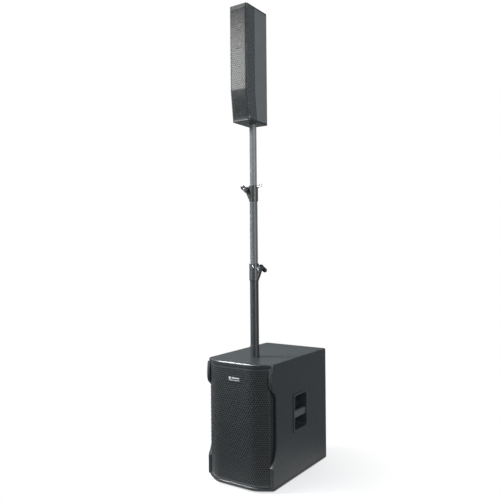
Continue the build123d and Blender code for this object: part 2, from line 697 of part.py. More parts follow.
with BuildPart() as pole_base:
    with BuildSketch(pole_plane(TOP_Z)):
        Circle(BASE_SLEEVE_R)
    extrude(amount=BASE_SLEEVE_H)
    fillet(pole_base.faces().sort_by(Axis.Z)[-1].edges(), 1.0)
    with BuildSketch(pole_plane(TOP_Z + BASE_FLOOR)):
        Circle(LOWER_TUBE_R + 0.05)
    extrude(amount=BASE_SLEEVE_H, mode=Mode.SUBTRACT)
    with BuildSketch(pole_plane(TOP_Z - STUD_L)):
        Circle(STUD_R)
    extrude(amount=STUD_L)
save(pole_base, "pole_base")

LOWER_TUBE_TOP = LOWER_COLLAR[1] - TUBE_TOP_STEP
MID_TUBE_TOP = UPPER_COLLAR[1] - TUBE_TOP_STEP
TUBES = (
    ("lower_tube", TOP_Z + BASE_FLOOR, LOWER_TUBE_TOP, LOWER_TUBE_R, MID_TUBE_R + SLIDE_FIT),
    ("mid_tube", MID_TUBE_Z0, MID_TUBE_TOP, MID_TUBE_R, UPPER_TUBE_R + SLIDE_FIT),
    ("upper_tube", UPPER_TUBE_Z0, CUP_TOP_Z - CLEAR, UPPER_TUBE_R, UPPER_TUBE_R - 2),
)
for name, z0, z1, outer, inner in TUBES:
    with BuildPart() as tube:
        ring(pole_plane(z0), outer, inner, z1 - z0)
    save(tube, name)

EAR_X, EAR_W, EAR_T, EAR_H = 33.0, 18.0, 20.0, 32.0
EAR_FOOT = 18.0  # how far the gusset runs down the sleeve below the ear
SPLIT = 3.0
BOLT_R = 3.0
PIN_R, PIN_BOSS_R, PIN_REACH = 2.5, 5.6, 14.0
KNOB_HUB = (10.0, 17.0)  # radius, length
WING = (52.0, 15.0, 11.0)  # length, width, thickness
WING_ANGLE = -40.0
PIN_RING_R, PIN_RING_T = 9.0, 1.4


def collar(span, outer, fixed_r, sliding_r, side, knob_z, pin_plane):
    """A split clamp sleeve, fixed to one tube and closing on the next one in."""
    z0, z1 = span
    step_z = z1 - TUBE_TOP_STEP
    with BuildPart() as sleeve:
        with BuildSketch(pole_plane(z0)):
            Circle(outer)
        extrude(amount=z1 - z0)
        chamfer(sleeve.faces().sort_by(Axis.Z)[-1].edges(), 1.2)
        chamfer(sleeve.faces().sort_by(Axis.Z)[0].edges(), 1.0)
        with BuildSketch(Plane.XZ.offset(-(POLE_Y - EAR_T / 2))):
            with BuildLine():
                Polyline(
                    (0, knob_z + EAR_H / 2 - 4),
                    (side * (EAR_X + EAR_W / 2 - 4), knob_z + EAR_H / 2 - 4),
                    (side * (EAR_X + EAR_W / 2), knob_z + 8),
                    (side * (EAR_X + EAR_W / 2), knob_z - 10),
                    (side * (outer + 1), knob_z - EAR_H - EAR_FOOT),
                    (0, knob_z - EAR_H - EAR_FOOT),
                    close=True,
                )
            make_face()
        extrude(amount=-EAR_T)
        with BuildSketch(pin_plane):
            Circle(PIN_BOSS_R)
        extrude(amount=outer + 4)
        with BuildSketch(pole_plane(z0)):
            Circle(fixed_r)
        extrude(amount=step_z - z0, mode=Mode.SUBTRACT)
        with BuildSketch(pole_plane(step_z)):
            Circle(sliding_r)
        extrude(amount=2 * TUBE_TOP_STEP, mode=Mode.SUBTRACT)
        with Locations((side * 40, POLE_Y, knob_z)):
            Box(60, SPLIT, 3 * EAR_H, mode=Mode.SUBTRACT)
        with BuildSketch(Plane.XZ.offset(-(POLE_Y - EAR_T))):
            with Locations((side * EAR_X, knob_z)):
                Circle(BOLT_R + 0.05)
            with Locations((side * (EAR_X - 4), knob_z - 21)):
                Circle(3.2)
        extrude(amount=-2 * EAR_T, mode=Mode.SUBTRACT)
        with BuildSketch(pin_plane):
            Circle(PIN_R + 0.05)
        extrude(amount=outer + 20, mode=Mode.SUBTRACT)
    return sleeve


def clamp_knob(side, facing, knob_z):
    """A wing knob moulded on a bolt that passes through both ears."""
    start = POLE_Y + facing * (EAR_T / 2 + CLEAR)
    centre = (side * EAR_X, knob_z)
    with BuildPart() as knob:
        with BuildSketch(Plane.XZ.offset(-start)):
            with Locations(centre):
                Circle(KNOB_HUB[0])
        extrude(amount=-facing * KNOB_HUB[1])
        with BuildSketch(Plane.XZ.offset(-(start + facing * (KNOB_HUB[1] - 1.5)))):
            with Locations(centre):
                with Locations(Rot(0, 0, WING_ANGLE)):
                    SlotOverall(WING[0], WING[1])
        extrude(amount=-facing * WING[2])
        fillet(knob.faces().sort_by(Axis.Y)[-1 if facing > 0 else 0].edges(), 3)
        with BuildSketch(Plane.XZ.offset(-start)):
            with Locations(centre):
                Circle(BOLT_R)
        extrude(amount=facing * (EAR_T + 10))
    return knob


def lock_pin(plane, outer, inner_stop, ring_tilt):
    """A pull pin with a shoulder and a ring, on an outward plane at the pole's axis."""
    with BuildPart() as pin:
        with BuildSketch(plane.offset(inner_stop)):
            Circle(PIN_R)
        extrude(amount=outer + PIN_REACH - inner_stop)
        with BuildSketch(plane.offset(outer + 4 + CLEAR)):
            Circle(5)
        extrude(amount=4)
        ring_centre = plane.offset(outer + PIN_REACH).origin + ring_tilt * PIN_RING_R
        ring_plane = Plane(origin=ring_centre, x_dir=ring_tilt, z_dir=plane.z_dir.cross(ring_tilt))
        with Locations(Location(ring_plane)):
            Torus(PIN_RING_R, PIN_RING_T)
    return pin


PIN_AIM = radians(25)  # the lower pin points this far round from the front
LOWER_PIN_Z = LOWER_COLLAR[1] - TUBE_TOP_STEP / 2
UPPER_PIN_Z = UPPER_COLLAR[1] - TUBE_TOP_STEP / 2
lower_pin_plane = Plane(
    origin=(0, POLE_Y, LOWER_PIN_Z),
    x_dir=(cos(PIN_AIM), sin(PIN_AIM), 0),
    z_dir=(sin(PIN_AIM), -cos(PIN_AIM), 0),
)
upper_pin_plane = Plane(origin=(0, POLE_Y, UPPER_PIN_Z), x_dir=(0, 1, 0), z_dir=(1, 0, 0))

lower_bores = (LOWER_TUBE_R + 0.05, MID_TUBE_R + CLEAR)
upper_bores = (MID_TUBE_R + 0.05, UPPER_TUBE_R + CLEAR)
lower_collar = collar(LOWER_COLLAR, LOWER_COLLAR_R, *lower_bores, 1, LOWER_KNOB_Z, lower_pin_plane)
upper_collar = collar(UPPER_COLLAR, UPPER_COLLAR_R, *upper_bores, -1, UPPER_KNOB_Z, upper_pin_plane)
save(lower_collar, "lower_collar")
save(upper_collar, "upper_collar")
save(clamp_knob(1, 1, LOWER_KNOB_Z), "lower_clamp_knob")
save(clamp_knob(-1, -1, UPPER_KNOB_Z), "upper_clamp_knob")

HANGING = Vector(0, 0, -1)
RAISED = Vector(1, 0, 1).normalized()
lower_pin = lock_pin(lower_pin_plane, LOWER_COLLAR_R, MID_TUBE_R + 2 * CLEAR, HANGING)
upper_pin = lock_pin(upper_pin_plane, UPPER_COLLAR_R, UPPER_TUBE_R + 2 * CLEAR, RAISED)
save(lower_pin, "lower_lock_pin")
save(upper_pin, "upper_lock_pin")

# ==== column loudspeaker ====

FRONT_TOP_Y = POLE_Y - COL_FRONT
REAR_Y = POLE_Y + COL_BACK


def column_side(front_inset, back_y=None, depth=None, z0=COL_Z0, z1=COL_TOP):
    """Side view of the column between heights z0 and z1: its front is upright, then raked
    back below the kink. The back edge is upright at back_y, or follows the front at depth."""
    y_top = FRONT_TOP_Y + front_inset
    y_low = y_top + COL_RAKE * (COL_KINK - z0) / COL_KINK_H
    if depth is None:
        back = [(back_y, z0), (back_y, z1)]
    else:
        back = [(y_low + depth, z0), (y_top + depth, COL_KINK), (y_top + depth, z1)]
    with BuildSketch() as outline:
        with BuildLine():
            Polyline((y_top, z1), (y_top, COL_KINK), (y_low, z0), *back, close=True)
        make_face()
    return outline.sketch


def raise_column(sketch, half_width, mode=Mode.ADD):
    """Extrude a side view to both sides of the column's middle plane."""
    with BuildSketch(Plane.YZ) as section:
        add(sketch)
    extrude(section.sketch, amount=half_width, both=True, mode=mode)


def front_uprights(part, half_width):
    """The long front edges at both corners of the part."""
    return [
        e
        for e in part.edges()
        if abs(abs(e.center().X) - half_width) < 0.1 and e.center().Y < FRONT_TOP_Y + 25 and e.length > 50
    ]


CAPS_IN = (COL_Z0 + COL_CAP_T, COL_TOP - COL_CAP_T)
BETWEEN_CAPS = {"z0": CAPS_IN[0], "z1": CAPS_IN[1]}
GRILLE_SHEET = 1.5
NECK_INSET = 11.0

with BuildPart() as column_grille:
    raise_column(column_side(0, depth=COL_WRAP, **BETWEEN_CAPS), COL_W / 2)
    fillet(front_uprights(column_grille, COL_W / 2), COL_CORNER_R)
    with BuildPart(mode=Mode.PRIVATE) as column_grille_core:
        raise_column(
            column_side(GRILLE_SHEET, depth=COL_WRAP + 10, **BETWEEN_CAPS), COL_W / 2 - GRILLE_SHEET
        )
        fillet(front_uprights(column_grille_core, COL_W / 2 - GRILLE_SHEET), COL_CORNER_R - GRILLE_SHEET)
    add(column_grille_core.part, mode=Mode.SUBTRACT)
save(column_grille, "column_grille")

SHOULDER_R = 1.4  # rounding of the cabinet's skin where the grille meets it
COL_SOCKETS = [(0, COL_Z0 + 130), (0, COL_Z0 + 170)]


def shoulder_edges(part):
    """The long outer edges of the skin beside the grille, upright and raked."""
    shoulder_y = FRONT_TOP_Y + COL_WRAP
    return [
        e
        for e in part.edges()
        if abs(abs(e.center().X) - COL_W / 2) < 0.1
        and shoulder_y < e.center().Y < shoulder_y + COL_RAKE
        and e.length > 50
    ]


with BuildPart() as column_cabinet:
    raise_column(column_side(COL_WRAP + 0.5, back_y=REAR_Y, **BETWEEN_CAPS), COL_W / 2)
    raise_column(
        column_side(NECK_INSET, back_y=REAR_Y - COL_WALL, **BETWEEN_CAPS), COL_W / 2 - GRILLE_SHEET - CLEAR
    )
    rear_edges = column_cabinet.edges().filter_by(Axis.Z).group_by(Axis.Y)[-1]
    fillet(rear_edges, COL_REAR_R)
    raise_column(column_side(-20, back_y=REAR_Y - COL_WALL), COL_W / 2 - COL_WALL, Mode.SUBTRACT)
    fillet(shoulder_edges(column_cabinet), SHOULDER_R)
    with BuildSketch(Plane.XZ.offset(-REAR_Y)):
        with Locations(COL_SOCKETS):
            Circle(SOCKET_BODY_R + 0.1)
    extrude(amount=COL_WALL, mode=Mode.SUBTRACT)
save(column_cabinet, "column_cabinet")


def column_cap(z, front_y):
    """Plan of the column at one height, with rounded corners."""
    with BuildSketch(Plane.XY.offset(z)) as plan:
        with Locations((0, front_y)):
            Rectangle(COL_W, REAR_Y - front_y, align=(Align.CENTER, Align.MIN))
        fillet(plan.vertices().group_by(Axis.Y)[0], COL_CORNER_R)
        fillet(plan.vertices().group_by(Axis.Y)[-1], COL_REAR_R)
    return plan.sketch


with BuildPart() as column_top_cap:
    add(column_cap(COL_TOP - COL_CAP_T, FRONT_TOP_Y))
    extrude(amount=COL_CAP_T)
    fillet(column_top_cap.faces().sort_by(Axis.Z)[-1].edges(), 1.5)
save(column_top_cap, "column_top_cap")

FRONT_LOW_Y = FRONT_TOP_Y + COL_RAKE
CUP_R = 21.0
with BuildPart() as column_bottom_cap:
    add(column_cap(COL_Z0, FRONT_LOW_Y))
    extrude(amount=COL_CAP_T)
    fillet(column_bottom_cap.faces().sort_by(Axis.Z)[0].edges(), 1.5)
    with BuildSketch(pole_plane(COL_Z0)):
        Circle(CUP_R + 0.1)
    extrude(amount=COL_CAP_T, mode=Mode.SUBTRACT)
save(column_bottom_cap, "column_bottom_cap")

with BuildPart() as column_pole_cup:
    ring(pole_plane(COL_Z0), CUP_R, UPPER_TUBE_R + SLIDE_FIT, CUP_TOP_Z - COL_Z0)
    ring(pole_plane(CAPS_IN[0]), 34, CUP_R - 1, 4)
    with BuildSketch(pole_plane(CUP_TOP_Z)):
        Circle(CUP_R)
    extrude(amount=4)
save(column_pole_cup, "column_pole_cup")

BAFFLE_SHEET = 5.0
DRIVER_Z = [1968.0 + 88.0 * i for i in range(4)]
DRIVER_R = 40.0
BAFFLE_FRONT = FRONT_TOP_Y + NECK_INSET - BAFFLE_SHEET
TWEETER_Z = COL_Z0 + 80
HORN_MOUTH = (60.0, 70.0)
HORN_RIM = (80.0, 90.0)
HORN_WALL = 2.5
HORN_DEPTH = 40.0
HORN_R = 6.0
RAKE_DIR = Vector(0, COL_RAKE, -COL_KINK_H).normalized()  # down the raked baffle
tweeter_spot = Vector(0, BAFFLE_FRONT + COL_RAKE * (COL_KINK - TWEETER_Z) / COL_KINK_H, TWEETER_Z)
tweeter_plane = Plane(origin=tweeter_spot, x_dir=(1, 0, 0), z_dir=Vector(1, 0, 0).cross(RAKE_DIR) * -1)

with BuildPart() as column_baffle:
    raise_column(
        column_side(NECK_INSET - BAFFLE_SHEET, depth=BAFFLE_SHEET, **BETWEEN_CAPS), COL_W / 2 - 4
    )
    with BuildSketch(Plane.XZ.offset(-BAFFLE_FRONT)):
        with Locations([(0, z) for z in DRIVER_Z]):
            Circle(DRIVER_R - 4.5)
    extrude(amount=-BAFFLE_SHEET - 1, mode=Mode.SUBTRACT)
    with BuildSketch(tweeter_plane.offset(5)):
        RectangleRounded(HORN_MOUTH[0] + 6, HORN_MOUTH[1] + 6, HORN_R)
    extrude(amount=-14, mode=Mode.SUBTRACT)
save(column_baffle, "column_baffle")

for number, z in enumerate(DRIVER_Z, start=1):
    with BuildPart() as driver:
        with BuildSketch(Plane.XY.offset(z)):
            with BuildLine():
                Polyline(
                    (0, BAFFLE_FRONT + 8),
                    (10, BAFFLE_FRONT + 9),
                    (13, BAFFLE_FRONT + 12),
                    (30, BAFFLE_FRONT + 1),
                    (33, BAFFLE_FRONT - 1.5),
                    (36, BAFFLE_FRONT - 2.5),
                    (DRIVER_R, BAFFLE_FRONT - 2.5),
                    (DRIVER_R, BAFFLE_FRONT),
                    (DRIVER_R - 5, BAFFLE_FRONT),
                    (DRIVER_R - 5, BAFFLE_FRONT + 8),
                    (24, BAFFLE_FRONT + 30),
                    (28, BAFFLE_FRONT + 30),
                    (28, BAFFLE_FRONT + 48),
                    (0, BAFFLE_FRONT + 48),
                    close=True,
                )
            make_face()
        revolve(axis=Axis((0, 0, z), (0, 1, 0)))
    save(driver, f"column_driver_{number}")

with BuildPart() as tweeter_horn:
    with BuildSketch(tweeter_plane):
        RectangleRounded(*HORN_RIM, HORN_R)
    extrude(amount=HORN_WALL)
    with BuildSketch(tweeter_plane):
        RectangleRounded(HORN_MOUTH[0] + 2 * HORN_WALL, HORN_MOUTH[1] + 2 * HORN_WALL, HORN_R)
    with BuildSketch(tweeter_plane.offset(-HORN_DEPTH)):
        RectangleRounded(32, 32, HORN_R)
    loft()
    with BuildSketch(tweeter_plane.offset(HORN_WALL)):
        RectangleRounded(*HORN_MOUTH, HORN_R)
    with BuildSketch(tweeter_plane.offset(4 - HORN_DEPTH)):
        Circle(12)
    loft(mode=Mode.SUBTRACT)
    with BuildSketch(tweeter_plane.offset(-HORN_DEPTH)):
        Circle(22)
    extrude(amount=-20)
save(tweeter_horn, "tweeter_horn")

with BuildPart() as column_sockets:
    with BuildSketch(Plane.XZ.offset(-REAR_Y)):
        with Locations(COL_SOCKETS):
            RectangleRounded(*SOCKET_FLANGE[:2], SOCKET_FLANGE_R)
    extrude(amount=-SOCKET_FLANGE[2])
    with BuildSketch(Plane.XZ.offset(-REAR_Y)):
        with Locations(COL_SOCKETS):
            Circle(SOCKET_BODY_R)
    extrude(amount=SOCKET_DEPTH)
    with BuildSketch(Plane.XZ.offset(-(REAR_Y + SOCKET_FLANGE[2]))):
        with Locations(COL_SOCKETS):
            Circle(SOCKET_BORE_R)
    extrude(amount=SOCKET_DEPTH, mode=Mode.SUBTRACT)
save(column_sockets, "column_sockets")
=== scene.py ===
from bisect import bisect_right
from math import cos, pi, radians, sin, sqrt, tan

import bmesh
import bpy
from mathutils import Matrix, Vector


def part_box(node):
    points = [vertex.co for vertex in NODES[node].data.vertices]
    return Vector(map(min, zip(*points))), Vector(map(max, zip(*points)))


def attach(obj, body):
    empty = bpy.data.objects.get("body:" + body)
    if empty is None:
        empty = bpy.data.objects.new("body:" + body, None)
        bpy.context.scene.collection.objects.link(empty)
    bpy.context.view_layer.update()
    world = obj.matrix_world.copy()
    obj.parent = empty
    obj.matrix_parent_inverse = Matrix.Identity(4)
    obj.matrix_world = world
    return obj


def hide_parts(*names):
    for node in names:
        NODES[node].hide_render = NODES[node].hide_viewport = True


# Column PA system: a bass cabinet, a telescopic pole and a column loudspeaker.
# Metres, +Z up, front towards -Y, as in the CAD frame.

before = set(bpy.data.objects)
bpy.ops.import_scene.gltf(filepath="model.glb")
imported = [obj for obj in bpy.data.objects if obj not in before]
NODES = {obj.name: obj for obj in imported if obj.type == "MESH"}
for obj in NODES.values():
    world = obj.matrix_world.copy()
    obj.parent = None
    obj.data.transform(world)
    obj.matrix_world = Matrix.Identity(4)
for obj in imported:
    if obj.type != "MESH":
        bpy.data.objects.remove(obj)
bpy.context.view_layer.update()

MM = 0.001
SCENE = bpy.context.scene
BOXES = {name: [Vector(corner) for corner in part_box(name)] for name in NODES}


def low(node):
    """Lowest corner of a CAD node's box at rest."""
    return BOXES[node][0]


def high(node):
    """Highest corner of a CAD node's box at rest."""
    return BOXES[node][1]


def middle(node):
    """Middle of a CAD node's box at rest."""
    return (low(node) + high(node)) / 2


POLE = middle("upper_tube").to_2d()

# ==== finishes ====

CLOUD = 60 * MM  # sizes of the patterns in the finishes
DRIFT = 50 * MM
STREAK = 30 * MM
SCUFF = 20 * MM
GLOSS_PATCH = 12 * MM
MOULD_PATCH = 8 * MM
PEEL = 1.1 * MM
PEEL_DEPTH = 0.04 * MM
MOULD_GRAIN = 0.8 * MM
MOULD_DEPTH = 0.05 * MM
SCRATCH = 0.6 * MM
SCRATCH_DEPTH = 0.02 * MM
SHEEN_AND_WEAR_R = 1.5 * MM
SHEEN_AND_WEAR_LIKENESS = 0.65  # where the rounded normal is this far from the plain one, an edge is fully worn and carries the full painted highlight
SHEEN_AND_WEAR_GAIN = 6  # how much paler than the paint a worn edge with its painted highlight is


class Finish:
    """A procedural Principled material. Its patterns are fixed to the body, in metres."""

    def __init__(self, name, sockets):
        self.material = bpy.data.materials.new(name)
        self.material.use_nodes = True
        self.nodes = self.material.node_tree.nodes
        self.links = self.material.node_tree.links
        self.shader = self.nodes["Principled BSDF"]
        for socket, value in sockets.items():
            self.shader.inputs[socket].default_value = value
        self.spot = self.nodes.new("ShaderNodeTexCoord").outputs["Object"]
        self.surface = None

    def scaled(self, size, stretch=(1, 1, 1)):
        """The surface's own coordinates, one unit to each size, drawn out by stretch."""
        mapping = self.nodes.new("ShaderNodeMapping")
        mapping.inputs["Scale"].default_value = [1 / (size * s) for s in stretch]
        self.links.new(self.spot, mapping.inputs["Vector"])
        return mapping.outputs["Vector"]

    def noise(self, size, detail=2.0, stretch=(1, 1, 1)):
        """Clouds about size across, drawn out by stretch along the axes."""
        node = self.nodes.new("ShaderNodeTexNoise")
        node.inputs["Scale"].default_value = 1.0
        node.inputs["Detail"].default_value = detail
        self.links.new(self.scaled(size, stretch), node.inputs["Vector"])
        return node.outputs["Fac"]

    def cells(self, size):
        """Rounded cells about size across, dark in their middles."""
        node = self.nodes.new("ShaderNodeTexVoronoi")
        node.feature = "SMOOTH_F1"
        node.inputs["Scale"].default_value = 1.0
        self.links.new(self.scaled(size), node.inputs["Vector"])
        return node.outputs["Distance"]

    def between(self, value, start, end, low_value, high_value):
        """The value's span from start to end, mapped to low_value to high_value."""
        node = self.nodes.new("ShaderNodeMapRange")
        ends = {"From Min": start, "From Max": end, "To Min": low_value, "To Max": high_value}
        for socket, number in ends.items():
            node.inputs[socket].default_value = number
        self.links.new(value, node.inputs["Value"])
        return node.outputs["Result"]

    def mixed(self, amount, under, over):
        """Colour under where amount is 0, and over where it is 1. Either may be an output."""
        node = self.nodes.new("ShaderNodeMix")
        node.data_type = "RGBA"
        self.links.new(amount, node.inputs["Factor"])
        for socket, colour in ((node.inputs[6], under), (node.inputs[7], over)):
            if isinstance(colour, tuple):
                socket.default_value = (*colour, 1.0)
            else:
                self.links.new(colour, socket)
        return node.outputs[2]

    def sheen_and_wear(self, radius):
        """Near 1 along outer edges, over about radius: the mask of edge wear and of a painted edge
        highlight.
        """
        rounded = self.nodes.new("ShaderNodeBevel")
        rounded.samples = 4
        rounded.inputs["Radius"].default_value = radius
        plain = self.nodes.new("ShaderNodeNewGeometry").outputs["Normal"]
        likeness = self.nodes.new("ShaderNodeVectorMath")
        likeness.operation = "DOT_PRODUCT"
        self.links.new(rounded.outputs["Normal"], likeness.inputs[0])
        self.links.new(plain, likeness.inputs[1])
        return self.between(likeness.outputs["Value"], 1.0, SHEEN_AND_WEAR_LIKENESS, 0.0, 1.0)

    def coloured(self, output):
        """Take the base colour from an output."""
        self.links.new(output, self.shader.inputs["Base Color"])
        return self

    def glossed(self, value, smooth, rough):
        """Let the roughness drift from smooth to rough with a pattern."""
        self.links.new(self.between(value, 0.3, 0.7, smooth, rough), self.shader.inputs["Roughness"])
        return self

    def raised(self, value, depth):
        """Relief depth metres high, on top of any relief so far."""
        node = self.nodes.new("ShaderNodeBump")
        node.inputs["Distance"].default_value = depth
        self.links.new(value, node.inputs["Height"])
        if self.surface is not None:
            self.links.new(self.surface, node.inputs["Normal"])
        self.surface = node.outputs["Normal"]
        self.links.new(self.surface, self.shader.inputs["Normal"])
        return self


def sprayed(name, dark, light, grain, depth, gloss=(0.42, 0.6), sheen_and_wear_share=0.0):
    """Hard sprayed paint: droplets of grain size over soft clouds, paler in patches along its edges, partly
    wear and partly a painted highlight.
    """
    finish = Finish(name, {"Specular IOR Level": 0.4})
    droplets = finish.cells(grain)
    clouds = finish.noise(CLOUD, 4.0)
    colour = finish.mixed(clouds, dark, light)
    # Paler edges: partly wear, partly a painted highlight standing in for light caught by the rounded edges.
    if sheen_and_wear_share > 0:
        scuff_and_sheen_patches = finish.between(finish.noise(SCUFF, 6.0), 0.45, 0.75, 0.0, sheen_and_wear_share)
        edge = finish.sheen_and_wear(SHEEN_AND_WEAR_R)
        both = finish.nodes.new("ShaderNodeMath")
        both.operation = "MULTIPLY"
        finish.links.new(scuff_and_sheen_patches, both.inputs[0])
        finish.links.new(edge, both.inputs[1])
        colour = finish.mixed(both.outputs[0], colour, tuple(SHEEN_AND_WEAR_GAIN * c for c in light))
    finish.coloured(colour)
    finish.glossed(finish.noise(8 * grain, 3.0), *gloss)
    finish.raised(droplets, -depth)
    finish.raised(finish.noise(grain / 2, 3.0), depth / 2)
    return finish.material


def powder_coat(name, dark, light, gloss=(0.3, 0.42), specular=0.5):
    """Thin baked powder: fine orange peel and a faint drift of tone."""
    finish = Finish(name, {"Specular IOR Level": specular})
    finish.coloured(finish.mixed(finish.noise(DRIFT, 3.0), dark, light))
    finish.glossed(finish.noise(GLOSS_PATCH, 3.0), *gloss)
    finish.raised(finish.noise(PEEL), PEEL_DEPTH)
    return finish.material


def moulded(name, dark, light, gloss=(0.4, 0.55)):
    """Moulded plastic or rubber with a spark-eroded grain."""
    finish = Finish(name, {"Specular IOR Level": 0.4})
    finish.coloured(finish.mixed(finish.noise(STREAK, 4.0), dark, light))
    finish.glossed(finish.noise(MOULD_PATCH, 3.0), *gloss)
    finish.raised(finish.cells(MOULD_GRAIN), MOULD_DEPTH)
    return finish.material


def bare_metal(name, dark, light, gloss=(0.2, 0.35), stretch=(1, 1, 1)):
    """Plated, turned or drawn metal, with its scratches drawn out by stretch."""
    finish = Finish(name, {"Metallic": 1.0})
    finish.coloured(finish.mixed(finish.noise(SCUFF, 4.0), dark, light))
    scratches = finish.noise(SCRATCH, 3.0, stretch)
    finish.glossed(scratches, *gloss)
    finish.raised(scratches, SCRATCH_DEPTH)
    return finish.material


def fibrous(name, dark, light, size, depth):
    """Paper pulp, foam or felt: a tangle at two scales."""
    finish = Finish(name, {"Roughness": 0.85, "Specular IOR Level": 0.2})
    tangle = finish.noise(size, 6.0, (1, 1, 2))
    finish.coloured(finish.mixed(tangle, dark, light))
    finish.raised(tangle, depth)
    finish.raised(finish.cells(2 * size), depth)
    return finish.material


def lens(name, glow):
    """A small coloured lens that glows."""
    finish = Finish(name, {"Roughness": 0.15, "Emission Strength": 1.5, "Emission Color": (*glow, 1.0)})
    finish.coloured(finish.mixed(finish.noise(1 * MM), glow, tuple(min(1.0, 1.6 * c) for c in glow)))
    return finish.material


# Each material slot's recipe, its dark and light tones, and then its grain, relief or gloss; the last number
# of three paints is the share of paler edges, partly wear and partly a painted highlight.
RECIPES = {
    "cabinet_paint": (
        sprayed, (0.0075, 0.0095, 0.011), (0.0115, 0.014, 0.0155), 2.1 * MM, 0.12 * MM, (0.3, 0.4), 0.5
    ),
    "inner_board": (sprayed, (0.012, 0.012, 0.012), (0.02, 0.019, 0.018), 4.0 * MM, 0.1 * MM),
    "grille_steel": (powder_coat, (0.014, 0.0165, 0.018), (0.02, 0.0225, 0.024), (0.3, 0.4)),
    "foam": (fibrous, (0.004, 0.004, 0.0045), (0.012, 0.012, 0.013), 1.6 * MM, 0.6 * MM),
    "badge_plate": (bare_metal, (0.82, 0.83, 0.84), (0.92, 0.93, 0.94), (0.3, 0.4), (40, 1, 1)),
    "cast_basket": (sprayed, (0.02, 0.02, 0.021), (0.035, 0.035, 0.036), 3.0 * MM, 0.15 * MM),
    "magnet_steel": (bare_metal, (0.45, 0.43, 0.38), (0.6, 0.58, 0.53), (0.3, 0.5)),
    "cone_pulp": (fibrous, (0.018, 0.018, 0.019), (0.05, 0.05, 0.052), 1.2 * MM, 0.2 * MM),
    "surround_rubber": (moulded, (0.01, 0.01, 0.01), (0.02, 0.02, 0.02), (0.5, 0.65)),
    "copper": (bare_metal, (0.72, 0.33, 0.16), (0.95, 0.52, 0.3), (0.2, 0.35), (1, 30, 1)),
    "screw_steel": (bare_metal, (0.05, 0.05, 0.055), (0.12, 0.12, 0.13), (0.28, 0.42)),
    "handle_plastic": (moulded, (0.012, 0.014, 0.016), (0.019, 0.021, 0.023)),
    "grip_metal": (powder_coat, (0.03, 0.033, 0.036), (0.045, 0.048, 0.052)),
    "amp_panel": (powder_coat, (0.012, 0.013, 0.014), (0.018, 0.019, 0.02), (0.4, 0.5)),
    "sink_metal": (bare_metal, (0.03, 0.03, 0.032), (0.07, 0.07, 0.074), (0.3, 0.42), (1, 1, 30)),
    "socket_plastic": (moulded, (0.012, 0.012, 0.013), (0.02, 0.02, 0.021)),
    "knob_plastic": (moulded, (0.015, 0.015, 0.016), (0.028, 0.028, 0.03), (0.35, 0.5)),
    "switch_plastic": (moulded, (0.01, 0.01, 0.01), (0.02, 0.02, 0.02), (0.25, 0.35)),
    "button_plastic": (moulded, (0.35, 0.35, 0.34), (0.46, 0.46, 0.45), (0.3, 0.4)),
    "led_lens": (lens, (0.1, 0.55, 0.2)),
    "board_green": (powder_coat, (0.01, 0.07, 0.03), (0.015, 0.11, 0.045), (0.3, 0.4)),
    "transformer_wrap": (moulded, (0.5, 0.28, 0.05), (0.7, 0.42, 0.1), (0.25, 0.4)),
    "foot_rubber": (moulded, (0.008, 0.008, 0.008), (0.016, 0.016, 0.016), (0.6, 0.75)),
    "socket_steel": (bare_metal, (0.3, 0.3, 0.31), (0.5, 0.5, 0.52)),
    # The pole's tubes are one powder coat in three tones, darker at the foot and paler at the top: painted
    # shade below, painted light above.
    "tube_satin": (powder_coat, (0.058, 0.063, 0.067), (0.076, 0.081, 0.085), (0.26, 0.34), 0.25),
    "tube_dark": (powder_coat, (0.014, 0.016, 0.018), (0.021, 0.0235, 0.026), (0.34, 0.44), 0.3),
    "tube_pale": (powder_coat, (0.09, 0.097, 0.102), (0.118, 0.125, 0.13), (0.28, 0.36), 0.25),
    "collar_cast": (sprayed, (0.02, 0.022, 0.023), (0.03, 0.032, 0.034), 1.5 * MM, 0.1 * MM, (0.3, 0.42)),
    "clamp_plastic": (moulded, (0.008, 0.008, 0.009), (0.015, 0.015, 0.016), (0.25, 0.4)),
    "pin_chrome": (bare_metal, (0.3, 0.31, 0.33), (0.45, 0.46, 0.48), (0.15, 0.3)),
    "column_paint": (
        sprayed, (0.055, 0.061, 0.065), (0.07, 0.076, 0.08), 1.3 * MM, 0.1 * MM, (0.45, 0.6), 0.4
    ),
    "column_cap_paint": (
        sprayed, (0.006, 0.0075, 0.0085), (0.01, 0.0115, 0.013), 1.3 * MM, 0.1 * MM, (0.3, 0.42), 0.4
    ),
    "column_grille_steel": (powder_coat, (0.026, 0.029, 0.031), (0.034, 0.038, 0.04), (0.22, 0.3), 0.33),
}
FINISHES = {name: recipe(name, *settings) for name, (recipe, *settings) in RECIPES.items()}
# The foot of the pole gets the painted-shade tone, the top tube the painted-light tone.
TUBE_FINISHES = {"lower_tube": "tube_dark", "pole_base": "tube_dark", "upper_tube": "tube_pale"}


def paint_cad_nodes():
    """Give every CAD node the finish of its own slot, and each stage of the pole its own tone, paler going
    up as painted light from above.
    """
    for name, node in NODES.items():
        for held in node.material_slots:
            held.material = FINISHES[TUBE_FINISHES.get(name, held.material.name.split(".")[0])]


# ==== meshes ====


def piece(name, mesh, slot, body, *nodes):
    """Turn a bmesh into an object that rides on a body and stands for the CAD nodes named."""
    bmesh.ops.recalc_face_normals(mesh, faces=mesh.faces)
    data = bpy.data.meshes.new(name)
    mesh.to_mesh(data)
    mesh.free()
    data.materials.append(FINISHES[slot])
    data.shade_smooth()
    data.set_sharp_from_angle(angle=radians(35))
    made = bpy.data.objects.new(name, data)
    SCENE.collection.objects.link(made)
    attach(made, body)
    if nodes:
        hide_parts(*nodes)
    return made


